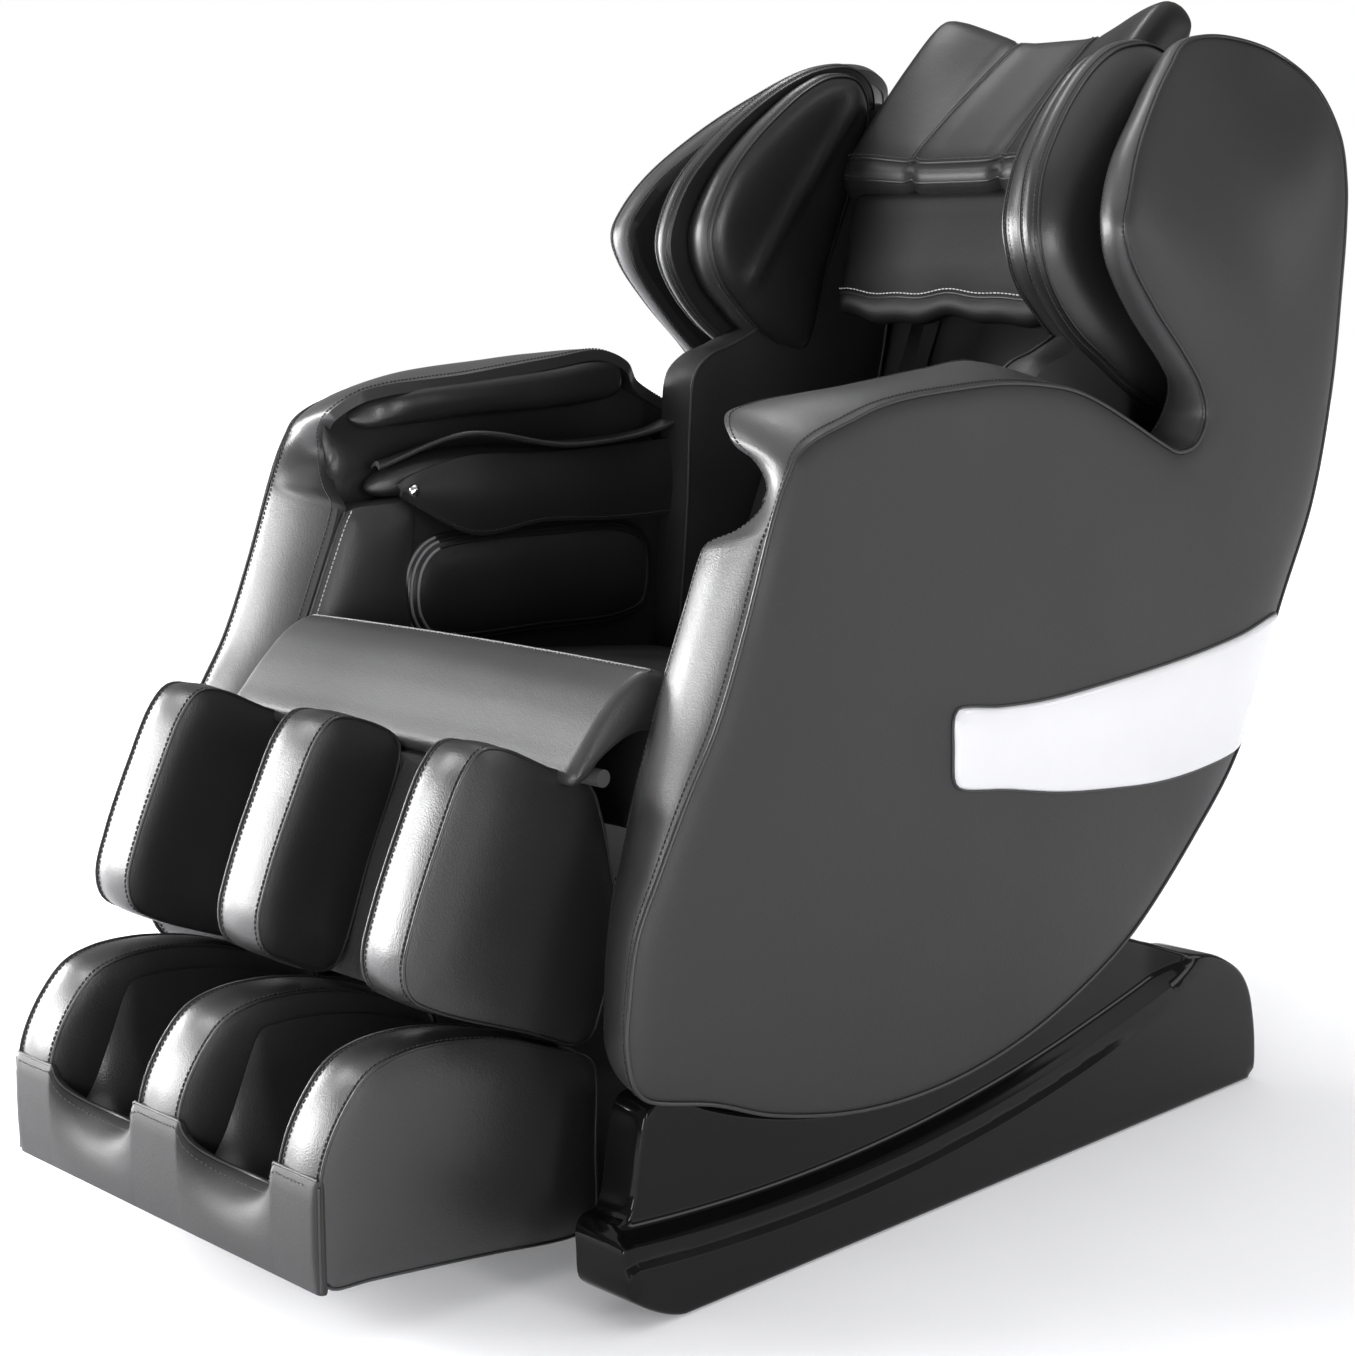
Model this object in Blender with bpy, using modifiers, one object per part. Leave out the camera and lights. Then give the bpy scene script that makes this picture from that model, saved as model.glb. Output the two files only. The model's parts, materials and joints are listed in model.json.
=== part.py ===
"""Full-body massage recliner with a zero gravity tilt, as separate named pieces.

Frame: metres, +Z up, the sitter faces -Y and their left hand is at +X. The origin is on the floor
under the middle of the chair. Side views are written as (y, z) outlines.

The whole upholstered body (the cradle) rocks on two curved tracks of the base, about the centre of the
tracks' arc. The leg rest hangs from a shaft at the seat's front edge and the foot unit slides out of it.
The massage carriage climbs two rails behind the back lining.
"""
import math

import bmesh
import bpy
from mathutils import Vector

# ---------------------------------------------------------------- driving dimensions
HALF_WIDTH = 0.370            # outer face of a side panel
PANEL_THICK = 0.065           # side panel, foam over board
ARM_INNER = 0.265             # inner face of an arm body, half the seat's width
GAP = 0.0003                  # clearance between pieces that touch
ROCK_CENTRE = (-0.045, 0.807)  # centre of the tracks' arc, axis of the tilt
ROCK_RADIUS = 0.688           # radius of the side panel's lower edge
TRACK_RADIUS = 0.697          # radius of the curved track under it
RUNNER_INNER = 0.310          # inner face of a base runner
SEAT_HALF = 0.262             # seat pan and cushion, half width
LEG_HINGE = (-0.357, 0.455)   # axis of the leg rest
LEG_LEAN = math.radians(-22.6)  # the leg rest hangs forward by this much
CALF_HALF = 0.243             # half width of the calf and foot units
CALF_WALL = 0.070             # width of an outer calf wall
CENTRE_HALF = 0.038           # half width of the middle wall
BACK_ORIGIN = (0.247, 0.460)  # foot of the back lining
BACK_LEAN = math.radians(-23.5)  # the back leans to the rear by this much
PILLOW_AXIS = (0.650, 1.150)  # the pillow flips over about this line
CARRIAGE_AT = 0.200           # place of the carriage along the back
ARM_PIVOT_DEPTH = 0.118       # depth of the kneading arms' axis behind the lining
ROLLER_RADIUS = 0.038
ROLLER_REACH = 0.060          # a roller's distance from its arm's axis, along the back
ROLLER_DEPTH = 0.085
FOOT_ROLLER_RADIUS = 0.016
WHEEL_RADIUS = 0.026
TUBE_RADIUS = 0.020           # actuator tube, outside
TUBE_BORE = 0.0112
ROD_RADIUS = 0.009
TILT_X = -0.10                # the tilt actuator runs beside the middle on one side, the leg one on the other
LEG_X = 0.10
TILT_PIVOT = (0.360, 0.070)
TILT_TIP = (-0.034, 0.118)
LEG_PIVOT = (0.120, 0.270)
WELD = 0.00005                # vertices closer than this are merged
BEVEL_ABOVE = math.radians(35)  # edges sharper than this are rounded
SHARP_ABOVE = math.radians(40)  # edges sharper than this are shaded as edges

# ---------------------------------------------------------------- scene and collections
for old in list(bpy.data.objects):
    bpy.data.objects.remove(old, do_unlink=True)

parts = bpy.data.collections.new("massage_recliner")
helpers = bpy.data.collections.new("cutters")
for group in (parts, helpers):
    bpy.context.scene.collection.children.link(group)


def material(name, color, roughness, metallic=0.0):
    """A Principled material of one colour."""
    made = bpy.data.materials.new(name)
    made.use_nodes = True
    shader = made.node_tree.nodes["Principled BSDF"]
    shader.inputs["Base Color"].default_value = (*color, 1.0)
    shader.inputs["Roughness"].default_value = roughness
    shader.inputs["Metallic"].default_value = metallic
    return made


LEATHER = material("black_leather", (0.020, 0.020, 0.022), 0.38)
PANEL_LEATHER = material("panel_leather", (0.060, 0.060, 0.063), 0.45)
GLOSS_PLASTIC = material("gloss_plastic", (0.008, 0.008, 0.009), 0.08)
SILVER_TRIM = material("silver_trim", (0.780, 0.790, 0.800), 0.15)
STEEL = material("painted_steel", (0.100, 0.100, 0.105), 0.45, 0.8)
CHROME = material("chrome", (0.800, 0.800, 0.810), 0.10, 1.0)
BLACK_PLASTIC = material("black_plastic", (0.030, 0.030, 0.032), 0.50)
FABRIC = material("black_fabric", (0.025, 0.025, 0.027), 0.85)
RUBBER = material("rubber", (0.020, 0.020, 0.020), 0.80)


# ---------------------------------------------------------------- bodies, as empties on the joint axes
def empty(name, location, parent=None, lean=0.0):
    """An empty at a world place, turned about X, that moving pieces hang from."""
    made = bpy.data.objects.new(name, None)
    made.empty_display_size = 0.05
    made.location = location
    made.rotation_euler.x = lean
    parts.objects.link(made)
    hang(made, parent)
    return made


def hang(piece, parent):
    """Parent a piece and keep its own location in world terms."""
    if parent is not None:
        bpy.context.view_layer.update()
        piece.parent = parent
        piece.matrix_parent_inverse = parent.matrix_world.inverted()


def leaning(origin, lean, y, z):
    """World (y, z) of a point given in a frame that leans about X."""
    return (
        origin[0] + y * math.cos(lean) - z * math.sin(lean),
        origin[1] + y * math.sin(lean) + z * math.cos(lean),
    )


def on_leg(y, z):
    """Leg rest frame: z runs up along the calf, y to the rear, zero at the hinge."""
    return leaning(LEG_HINGE, LEG_LEAN, y, z)


def on_back(y, z):
    """Back frame: z runs up along the lining, y is the depth behind it."""
    return leaning(BACK_ORIGIN, BACK_LEAN, y, z)


BASE = empty("base_origin", (0, 0, 0))
CRADLE = empty("cradle_axis", (0, *ROCK_CENTRE), BASE)
LEGREST = empty("legrest_axis", (0, *LEG_HINGE), CRADLE, LEG_LEAN)
FOOT = empty("foot_slide_axis", (0, *on_leg(0.0, -0.235)), LEGREST, LEG_LEAN)
HEAD = empty("head_flip_axis", (0, *PILLOW_AXIS), CRADLE)
CARRIAGE = empty("carriage_axis", (0, *on_back(0.160, CARRIAGE_AT)), CRADLE, BACK_LEAN)


# ---------------------------------------------------------------- modelling helpers
def finish(piece, surface, parent, bevel=0.0, segments=2, smooth=True):
    """Give a mesh object its material, rounded edges, shading and parent."""
    piece.data.materials.clear()
    piece.data.materials.append(surface)
    if bevel:
        round_off = piece.modifiers.new("round", "BEVEL")
        round_off.width = bevel
        round_off.segments = segments
        round_off.limit_method = "ANGLE"
        round_off.angle_limit = BEVEL_ABOVE
    if smooth:
        piece.data.shade_smooth()
        piece.data.set_sharp_from_angle(angle=SHARP_ABOVE)
    hang(piece, parent)
    return piece


def slab(name, outline, x_from, x_to, surface, parent, bevel=0.0, curved=0, segments=2):
    """A (y, z) outline given thickness along X; curved is the smooth steps between its points."""
    curve = bpy.data.curves.new(name, "CURVE")
    curve.dimensions = "2D"
    curve.fill_mode = "BOTH"
    curve.extrude = abs(x_to - x_from) / 2
    curve.resolution_u = max(curved, 1)
    spline = curve.splines.new("BEZIER" if curved else "POLY")
    if curved:
        spline.bezier_points.add(len(outline) - 1)
        for point, (y, z) in zip(spline.bezier_points, outline):
            point.co = (y, z, 0)
            point.handle_left_type = "AUTO"
            point.handle_right_type = "AUTO"
    else:
        spline.points.add(len(outline) - 1)
        for point, (y, z) in zip(spline.points, outline):
            point.co = (y, z, 0, 1)
    spline.use_cyclic_u = True
    drawn = bpy.data.objects.new(name + "_outline", curve)
    drawn.location.x = (x_from + x_to) / 2
    drawn.rotation_euler = (math.pi / 2, 0, math.pi / 2)
    parts.objects.link(drawn)
    piece = as_mesh(drawn, name)
    return finish(piece, surface, parent, bevel, segments)


def as_mesh(drawn, name):
    """Replace a curve object by the welded mesh that it draws."""
    bpy.context.view_layer.update()
    ready = drawn.evaluated_get(bpy.context.evaluated_depsgraph_get())
    mesh = bpy.data.meshes.new_from_object(ready)
    mesh.name = name
    work = bmesh.new()
    work.from_mesh(mesh)
    bmesh.ops.remove_doubles(work, verts=work.verts, dist=WELD)
    bmesh.ops.recalc_face_normals(work, faces=work.faces)
    work.to_mesh(mesh)
    work.free()
    piece = bpy.data.objects.new(name, mesh)
    piece.matrix_world = drawn.matrix_world
    parts.objects.link(piece)
    bpy.data.objects.remove(drawn, do_unlink=True)
    return piece


def primitive(name):
    """Name the primitive just added and move it to the parts collection."""
    piece = bpy.context.object
    piece.name = name
    piece.data.name = name
    for group in list(piece.users_collection):
        group.objects.unlink(piece)
    parts.objects.link(piece)
    return piece


def box(name, centre, size, surface, parent, lean=0.0, bevel=0.0, segments=2):
    """A box with its scale applied, turned about X."""
    bpy.ops.mesh.primitive_cube_add(size=1)
    piece = primitive(name)
    for vertex in piece.data.vertices:
        vertex.co = Vector(a * b for a, b in zip(vertex.co, size))
    piece.location = centre
    piece.rotation_euler.x = lean
    return finish(piece, surface, parent, bevel, segments, smooth=bool(bevel))


def cylinder(name, centre, radius, length, surface, parent, bevel=0.0, sides=24):
    """A round piece lying along X."""
    bpy.ops.mesh.primitive_cylinder_add(vertices=sides, radius=radius, depth=length)
    piece = primitive(name)
    piece.location = centre
    piece.rotation_euler.y = math.pi / 2
    return finish(piece, surface, parent, bevel)


def turned(name, profile, x, start, direction, surface, parent, sides=20):
    """A (radius, distance) profile, top to bottom, turned about a line in the YZ plane."""
    mesh = bpy.data.meshes.new(name)
    points = [(radius, 0, distance) for radius, distance in profile]
    mesh.from_pydata(points, [(i, i + 1) for i in range(len(points) - 1)], [])
    piece = bpy.data.objects.new(name, mesh)
    parts.objects.link(piece)
    spin = piece.modifiers.new("turn", "SCREW")
    spin.steps = sides
    spin.render_steps = sides
    spin.use_merge_vertices = True
    spin.merge_threshold = WELD
    piece.location = (x, *start)
    piece.rotation_euler.x = -math.atan2(direction[0], direction[1])
    mesh.materials.append(surface)
    hang(piece, parent)
    return piece


def joined(piece, helper, operation):
    """Union with, or cut by, a helper solid."""
    parts.objects.unlink(helper)
    helpers.objects.link(helper)
    helper.hide_render = True
    helper.display_type = "WIRE"
    step = piece.modifiers.new(operation.lower(), "BOOLEAN")
    step.operation = operation
    step.object = helper
    step.solver = "EXACT"


def shell(name, line, half_width, thick, surface, parent):
    """A sheet that follows a (y, z) line from side to side, thickened inwards."""
    mesh = bpy.data.meshes.new(name)
    points = [(x, y, z) for y, z in line for x in (-half_width, half_width)]
    faces = [(2 * i, 2 * i + 2, 2 * i + 3, 2 * i + 1) for i in range(len(line) - 1)]
    mesh.from_pydata(points, [], faces)
    piece = bpy.data.objects.new(name, mesh)
    parts.objects.link(piece)
    wall = piece.modifiers.new("wall", "SOLIDIFY")
    wall.thickness = thick
    wall.offset = -1
    return finish(piece, surface, parent)


def arc(centre, radius, first, last, steps):
    """Points on a circle, angles in degrees from +Y towards +Z."""
    points = []
    for i in range(steps + 1):
        angle = math.radians(first + (last - first) * i / steps)
        points.append((centre[0] + radius * math.cos(angle), centre[1] + radius * math.sin(angle)))
    return points


# ---------------------------------------------------------------- base
def base():
    """Floor pan, two runner covers, curved tracks, wheels, control box with inlet and switch."""
    pan = box("base_frame", (0, 0.085, 0.017), (0.6094, 0.81, 0.010), STEEL, BASE)
    lug = box("tilt_lug", (TILT_X, 0.388, 0.057), (0.050, 0.016, 0.080), STEEL, None)
    joined(pan, lug, "UNION")

    runner = [(-0.364, 0.0), (-0.434, 0.036), (-0.436, 0.088), (-0.409, 0.094)]
    runner += arc(ROCK_CENTRE, TRACK_RADIUS, -118, -59, 14)
    runner += [(0.401, 0.172), (0.471, 0.144), (0.513, 0.109), (0.534, 0.053), (0.531, 0.0)]
    track = arc(ROCK_CENTRE, TRACK_RADIUS, -112, -60, 12)
    track += [(track[-1][0], 0.015), (track[0][0], 0.015)]
    for side, name in ((1, "left"), (-1, "right")):
        slab("base_cover_" + name, runner, side * RUNNER_INNER, side * HALF_WIDTH, GLOSS_PLASTIC, BASE,
             bevel=0.004, segments=1)
        rail = slab("track_" + name, track, side * 0.285, side * 0.3045, STEEL, None)
        joined(pan, rail, "UNION")
        cylinder("transport_wheel_" + name, (side * 0.278, 0.470, 0.050), WHEEL_RADIUS, 0.022, RUBBER,
                 BASE, bevel=0.003)

    box("control_box", (0.12, 0.415, 0.0594), (0.200, 0.110, 0.074), BLACK_PLASTIC, BASE, bevel=0.004)
    inlet = box("power_inlet", (0.085, 0.4794, 0.0525), (0.050, 0.018, 0.034), BLACK_PLASTIC, BASE)
    socket = box("inlet_socket", (0.085, 0.4854, 0.0525), (0.024, 0.020, 0.017), BLACK_PLASTIC, None)
    joined(inlet, socket, "DIFFERENCE")
    box("power_switch", (0.145, 0.4785, 0.0525), (0.022, 0.009, 0.020), BLACK_PLASTIC, BASE,
        bevel=0.001, segments=1)


# ---------------------------------------------------------------- cradle
SIDE_OUTLINE = [
    (-0.424, 0.222), (-0.436, 0.290), (-0.449, 0.358), (-0.417, 0.487), (-0.350, 0.638), (-0.270, 0.716),
    (-0.162, 0.772), (-0.024, 0.788), (0.127, 0.780), (0.260, 0.748), (0.345, 0.714), (0.385, 0.714),
    (0.402, 0.735), (0.370, 0.785), (0.289, 0.852), (0.214, 0.908), (0.204, 0.950), (0.238, 1.020),
    (0.310, 1.100), (0.415, 1.123), (0.530, 1.100), (0.615, 1.045), (0.650, 0.960), (0.650, 0.850),
    (0.623, 0.696), (0.558, 0.530), (0.485, 0.379), (0.405, 0.297),
]
SIDE_BOTTOM = arc(ROCK_CENTRE, ROCK_RADIUS, -60, -118, 6)

ARM_BODY = [
    (-0.241, 0.645), (-0.285, 0.534), (-0.316, 0.457), (-0.340, 0.380), (-0.356, 0.302), (-0.358, 0.240),
    (-0.340, 0.205), (-0.200, 0.150), (0.000, 0.135), (0.160, 0.165), (0.240, 0.205), (0.240, 0.620),
    (0.200, 0.655), (-0.215, 0.655),
]
ARM_TOP_PAD = [
    (-0.190, 0.728), (-0.218, 0.742), (-0.198, 0.766), (-0.110, 0.776), (0.000, 0.787), (0.105, 0.800),
    (0.150, 0.802), (0.172, 0.780), (0.165, 0.745), (0.000, 0.728),
]
ARM_LOWER_PAD = [
    (-0.212, 0.660), (-0.205, 0.690), (-0.150, 0.702), (0.000, 0.700), (0.150, 0.702), (0.210, 0.712),
    (0.216, 0.700), (0.180, 0.662), (0.000, 0.658),
]
HIP_PAD = [
    (-0.155, 0.560), (-0.135, 0.600), (-0.080, 0.612), (0.150, 0.608), (0.195, 0.585), (0.200, 0.530),
    (0.170, 0.504), (-0.080, 0.504), (-0.135, 0.515),
]
TRIM = [
    (-0.020, 0.486), (0.123, 0.481), (0.363, 0.496), (0.540, 0.521), (0.478, 0.386), (0.315, 0.371),
    (0.143, 0.387), (-0.020, 0.416),
]
SHOULDER_OUTER = [
    (0.385, 0.795), (0.310, 0.850), (0.238, 0.905), (0.228, 0.955), (0.262, 1.025), (0.320, 1.080),
    (0.400, 1.106), (0.480, 1.100), (0.545, 1.040), (0.550, 0.940), (0.500, 0.850), (0.440, 0.800),
]
SHOULDER_INNER = [
    (0.360, 0.793), (0.275, 0.845), (0.222, 0.900), (0.212, 0.960), (0.245, 1.032), (0.310, 1.090),
    (0.400, 1.120), (0.480, 1.112), (0.540, 1.050), (0.545, 0.950), (0.490, 0.850), (0.430, 0.798),
]
BOLSTER = [
    (0.222, 0.470), (0.226, 0.626), (0.230, 0.750), (0.252, 0.780), (0.535, 0.780), (0.566, 0.735),
    (0.425, 0.407), (0.300, 0.402),
]


def sides():
    """Side panels, arms and shoulder pads, the same on both sides."""
    for side, name in ((1, "left"), (-1, "right")):
        def pair(label, outline, x_from, x_to, surface, bevel, curved=2, segments=2):
            slab(label + "_" + name, outline, side * x_from, side * x_to, surface, CRADLE,
                 bevel, curved, segments)

        inside = HALF_WIDTH - PANEL_THICK
        skin = inside - GAP
        pair("side_panel", SIDE_OUTLINE + SIDE_BOTTOM, inside, HALF_WIDTH, PANEL_LEATHER, 0.010)
        pair("arm_body", ARM_BODY, ARM_INNER, skin, LEATHER, 0.008, 0)
        pair("arm_top_pad", ARM_TOP_PAD, ARM_INNER - 0.003, skin, LEATHER, 0.008, 0)
        pair("arm_lower_pad", ARM_LOWER_PAD, 0.247, skin, LEATHER, 0.006, 0)
        pair("hip_pad", HIP_PAD, 0.238, ARM_INNER - GAP, LEATHER, 0.008, 0)
        pair("side_trim", TRIM, HALF_WIDTH + GAP, HALF_WIDTH + 0.0045, SILVER_TRIM, 0.001, 0, 1)
        pair("shoulder_pad_outer", SHOULDER_OUTER, 0.252, skin, LEATHER, 0.014, 2)
        pair("shoulder_pad_inner", SHOULDER_INNER, 0.198, 0.2517, LEATHER, 0.014, 2)
        pair("back_bolster", BOLSTER, 0.205, ARM_INNER - GAP, LEATHER, 0.006, 0)


def seat():
    """Seat pan with the two actuator lugs, cushion and the rolled front flap."""
    pan = box("seat_pan", (0, 0.030, 0.385), (2 * SEAT_HALF, 0.530, 0.020), STEEL, CRADLE)
    tilt_lug = box("cradle_lug", (TILT_X, -0.049, 0.242), (0.040, 0.018, 0.274), STEEL, None)
    leg_lug = box("leg_lug", (LEG_X, 0.142, 0.315), (0.040, 0.016, 0.130), STEEL, None)
    joined(pan, tilt_lug, "UNION")
    joined(pan, leg_lug, "UNION")
    cushion = [
        (-0.255, 0.396), (-0.255, 0.488), (-0.235, 0.503), (-0.100, 0.490), (0.180, 0.466), (0.212, 0.455),
        (0.212, 0.396),
    ]
    slab("seat_cushion", cushion, -SEAT_HALF, SEAT_HALF, LEATHER, CRADLE, 0.006)
    flap = [
        (-0.2565, 0.474), (-0.2565, 0.516), (-0.272, 0.532), (-0.298, 0.530), (-0.331, 0.505),
        (-0.352, 0.483), (-0.350, 0.472), (-0.338, 0.468),
    ]
    slab("seat_front_flap", flap, -0.255, 0.255, LEATHER, CRADLE, 0.004)


def back():
    """Back plate, rear cover, lining and the two guide rails."""
    box("back_plate", (0, *on_back(0.195, 0.240)), (0.500, 0.010, 0.520), STEEL, CRADLE, BACK_LEAN)
    rear_line = [
        (0.365, 0.285), (0.403, 0.312), (0.475, 0.387), (0.548, 0.534), (0.612, 0.698), (0.640, 0.790),
        (0.650, 0.860), (0.649, 0.950), (0.632, 1.005), (0.602, 1.040),
    ]
    shell("rear_cover", rear_line, HALF_WIDTH - PANEL_THICK - GAP, 0.010, FABRIC, CRADLE)
    box("back_lining", (0, *on_back(0.005, 0.205)), (0.392, 0.010, 0.370), FABRIC, CRADLE, BACK_LEAN)
    for side, name in ((1, "left"), (-1, "right")):
        box("guide_rail_" + name, (side * 0.160, *on_back(0.1625, 0.280)), (0.020, 0.025, 0.500), CHROME,
            CRADLE, BACK_LEAN)


def head():
    """Head pillow and the neck cushion that hangs from its lower edge."""
    pillow = [
        (0.425, 1.000), (0.520, 1.100), (0.598, 1.178), (0.626, 1.188), (0.652, 1.172), (0.650, 1.150),
        (0.560, 1.056), (0.469, 0.960), (0.440, 0.965),
    ]
    slab("head_pillow", pillow, -0.172, 0.172, LEATHER, HEAD, 0.008)
    neck = [(0.404, 0.828), (0.423, 0.960), (0.432, 0.956), (0.457, 0.950), (0.441, 0.830)]
    slab("neck_cushion", neck, -0.155, 0.155, LEATHER, HEAD, 0.005)


# ---------------------------------------------------------------- massage mechanism
def massage():
    """Carriage, two kneading arms on one axis and four rollers."""
    box("massage_carriage", (0, *on_back(0.161, CARRIAGE_AT)), (0.294, 0.050, 0.120), BLACK_PLASTIC,
        CARRIAGE, BACK_LEAN, bevel=0.004)
    knee = [
        (-0.075, 0.078), (0.075, 0.078), (0.072, 0.100), (0.018, 0.112), (0.012, 0.130), (-0.012, 0.130),
        (-0.018, 0.112), (-0.072, 0.100),
    ]
    outline = [on_back(depth, CARRIAGE_AT + along) for along, depth in knee]
    for side, name in ((1, "left"), (-1, "right")):
        axis = empty("kneading_axis_" + name, (side * 0.075, *on_back(ARM_PIVOT_DEPTH, CARRIAGE_AT)), CARRIAGE)
        slab("roller_arm_" + name, outline, side * 0.067, side * 0.083, STEEL, axis)
        for end, place in ((1, "upper"), (-1, "lower")):
            centre = on_back(ROLLER_DEPTH, CARRIAGE_AT + end * ROLLER_REACH)
            cylinder(place + "_roller_" + name, (side * 0.0985, *centre), ROLLER_RADIUS, 0.030,
                     BLACK_PLASTIC, axis, bevel=0.008)


# ---------------------------------------------------------------- leg rest and foot unit
def legrest():
    """Hinge shaft, calf rest and the three padded walls beside and between the calves."""
    cylinder("leg_hinge_shaft", (0, *LEG_HINGE), 0.008, 2 * SEAT_HALF, STEEL, LEGREST, sides=16)
    rest = [(-0.035, -0.225), (0.030, -0.225), (0.030, -0.020), (0.015, -0.0085), (-0.025, -0.0085)]
    inner = CALF_HALF - CALF_WALL - GAP
    slab("calf_back", [on_leg(*p) for p in rest], -inner, inner, LEATHER, LEGREST, 0.002, segments=1)
    wall = [
        (-0.045, -0.010), (-0.115, -0.010), (-0.131, -0.028), (-0.131, -0.205), (-0.110, -0.228),
        (0.100, -0.226), (0.100, -0.120), (0.030, -0.030), (0.020, -0.010),
    ]
    middle = [
        (-0.0353, -0.010), (-0.115, -0.010), (-0.131, -0.028), (-0.131, -0.205), (-0.110, -0.228),
        (-0.0353, -0.228),
    ]
    for side, name in ((1, "left"), (-1, "right")):
        slab("calf_wall_" + name, [on_leg(*p) for p in wall], side * (CALF_HALF - CALF_WALL),
             side * CALF_HALF, LEATHER, LEGREST, 0.008)
    slab("calf_wall_center", [on_leg(*p) for p in middle], -CENTRE_HALF, CENTRE_HALF, LEATHER, LEGREST, 0.008)


def foot():
    """Foot unit: tray, three lobes, slide bar and a sole roller in each well."""
    top = [
        (-0.655, 0.150), (-0.641, 0.186), (-0.602, 0.235), (-0.539, 0.246), (-0.462, 0.234), (-0.362, 0.195),
    ]
    lobe = [(-0.655, 0.064)] + top + [(-0.345, 0.188), (-0.345, 0.039), (-0.377, 0.033)]
    tray = [
        (-0.655, 0.064), (-0.655, 0.118), (-0.642, 0.121), (-0.628, 0.110), (-0.600, 0.080),
        (-0.360, 0.072), (-0.358, 0.185), (-0.345, 0.185), (-0.345, 0.039), (-0.377, 0.033),
    ]
    centre = [(-0.655, 0.1195)] + top + [(-0.3584, 0.192), (-0.3604, 0.0726), (-0.600, 0.0806), (-0.628, 0.1106),
                                         (-0.6415, 0.1215)]
    inner = CALF_HALF - CALF_WALL
    for side, name in ((1, "left"), (-1, "right")):
        slab("foot_lobe_" + name, lobe, side * inner, side * CALF_HALF, LEATHER, FOOT, 0.006)
        cylinder("foot_roller_" + name, (side * 0.105, -0.500, 0.0950), FOOT_ROLLER_RADIUS, 0.120,
                 BLACK_PLASTIC, FOOT, bevel=0.003, sides=16)
    slab("foot_lobe_center", centre, -CENTRE_HALF, CENTRE_HALF, LEATHER, FOOT)
    slab("foot_tray", tray, -inner + GAP, inner - GAP, LEATHER, FOOT)
    box("foot_slide_bar", (0, *on_leg(0.040, -0.140)), (0.060, 0.012, 0.180), CHROME, FOOT, LEG_LEAN)


# ---------------------------------------------------------------- actuators
def actuator(name, x, pivot, tip, cylinder_end, rod_start, parent):
    """A blind tube with a rod in it, along the line from its pivot to the rod's tip."""
    reach = Vector((tip[0] - pivot[0], tip[1] - pivot[1]))
    length = reach.length
    direction = reach / length
    tube = [
        (0.0, 0.020), (TUBE_BORE, 0.020), (TUBE_BORE, cylinder_end), (TUBE_RADIUS, cylinder_end),
        (TUBE_RADIUS, 0.010), (0.012, -0.004), (0.0, -0.004),
    ]
    start = empty(name + "_axis", (x, *pivot), parent)
    turned(name + "_cylinder", tube, x, pivot, direction, STEEL, start)
    rod = [(0.0, length), (ROD_RADIUS, length), (ROD_RADIUS, rod_start), (0.0, rod_start)]
    turned(name + "_rod", rod, x, pivot, direction, CHROME, start)


base()
sides()
seat()
back()
head()
massage()
legrest()
foot()
actuator("tilt", TILT_X, TILT_PIVOT, TILT_TIP, 0.345, 0.035, BASE)
actuator("leg", LEG_X, LEG_PIVOT, on_leg(0.048, -0.150), 0.320, 0.100, CRADLE)
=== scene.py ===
"""Looks of the full-body massage recliner: upholstery, seams, gloss base, trims and a plain studio.

Every soft part is a closed form worked out with numpy. Three shapes cover nearly all of them: a quilted
face (a height over a flat outline), a loft (rings of points joined one to the next) and a tube.
The chair's frame: metres, +Z up, the sitter faces -Y, their left hand is at +X.
"""
import json
import math

import bpy
import numpy as np
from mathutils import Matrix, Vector
from mathutils.geometry import delaunay_2d_cdt


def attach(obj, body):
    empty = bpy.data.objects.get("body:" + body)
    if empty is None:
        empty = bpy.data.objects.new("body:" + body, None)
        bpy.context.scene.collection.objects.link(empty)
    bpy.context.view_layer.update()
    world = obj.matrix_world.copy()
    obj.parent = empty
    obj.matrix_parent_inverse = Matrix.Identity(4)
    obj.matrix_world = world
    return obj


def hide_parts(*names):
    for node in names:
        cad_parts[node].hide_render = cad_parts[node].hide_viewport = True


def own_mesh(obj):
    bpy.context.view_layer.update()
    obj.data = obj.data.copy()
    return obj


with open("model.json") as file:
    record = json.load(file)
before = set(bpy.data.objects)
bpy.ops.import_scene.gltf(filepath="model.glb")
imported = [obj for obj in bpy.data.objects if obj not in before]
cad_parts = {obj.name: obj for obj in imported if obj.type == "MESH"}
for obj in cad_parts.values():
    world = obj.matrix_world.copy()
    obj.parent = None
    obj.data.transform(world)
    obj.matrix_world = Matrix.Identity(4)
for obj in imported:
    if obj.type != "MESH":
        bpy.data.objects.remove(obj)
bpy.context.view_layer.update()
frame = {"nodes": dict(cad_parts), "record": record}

# ---------------------------------------------------------------- camera, floor and lights
AZIMUTH = math.radians(45.204)
ELEVATION = math.radians(9.420)
camera = bpy.data.objects.new("camera", bpy.data.cameras.new("camera"))
camera.data.lens = 64.506
camera.data.sensor_width = 36.0
camera.location = (1.77343, -1.76712, 0.88639)
camera.rotation_euler = (math.pi / 2 - ELEVATION, 0.0, AZIMUTH)
bpy.context.scene.collection.objects.link(camera)
bpy.context.scene.camera = camera
bpy.context.scene.view_settings.view_transform = "Standard"


def softbox(name, place, target, size, power):
    """A rectangular area light that looks at a target."""
    lamp = bpy.data.lights.new(name, "AREA")
    lamp.shape = "RECTANGLE"
    lamp.size, lamp.size_y = size
    lamp.energy = power
    holder = bpy.data.objects.new(name, lamp)
    holder.location = place
    holder.rotation_euler = (Vector(target) - Vector(place)).to_track_quat("-Z", "Y").to_euler()
    bpy.context.scene.collection.objects.link(holder)


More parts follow.
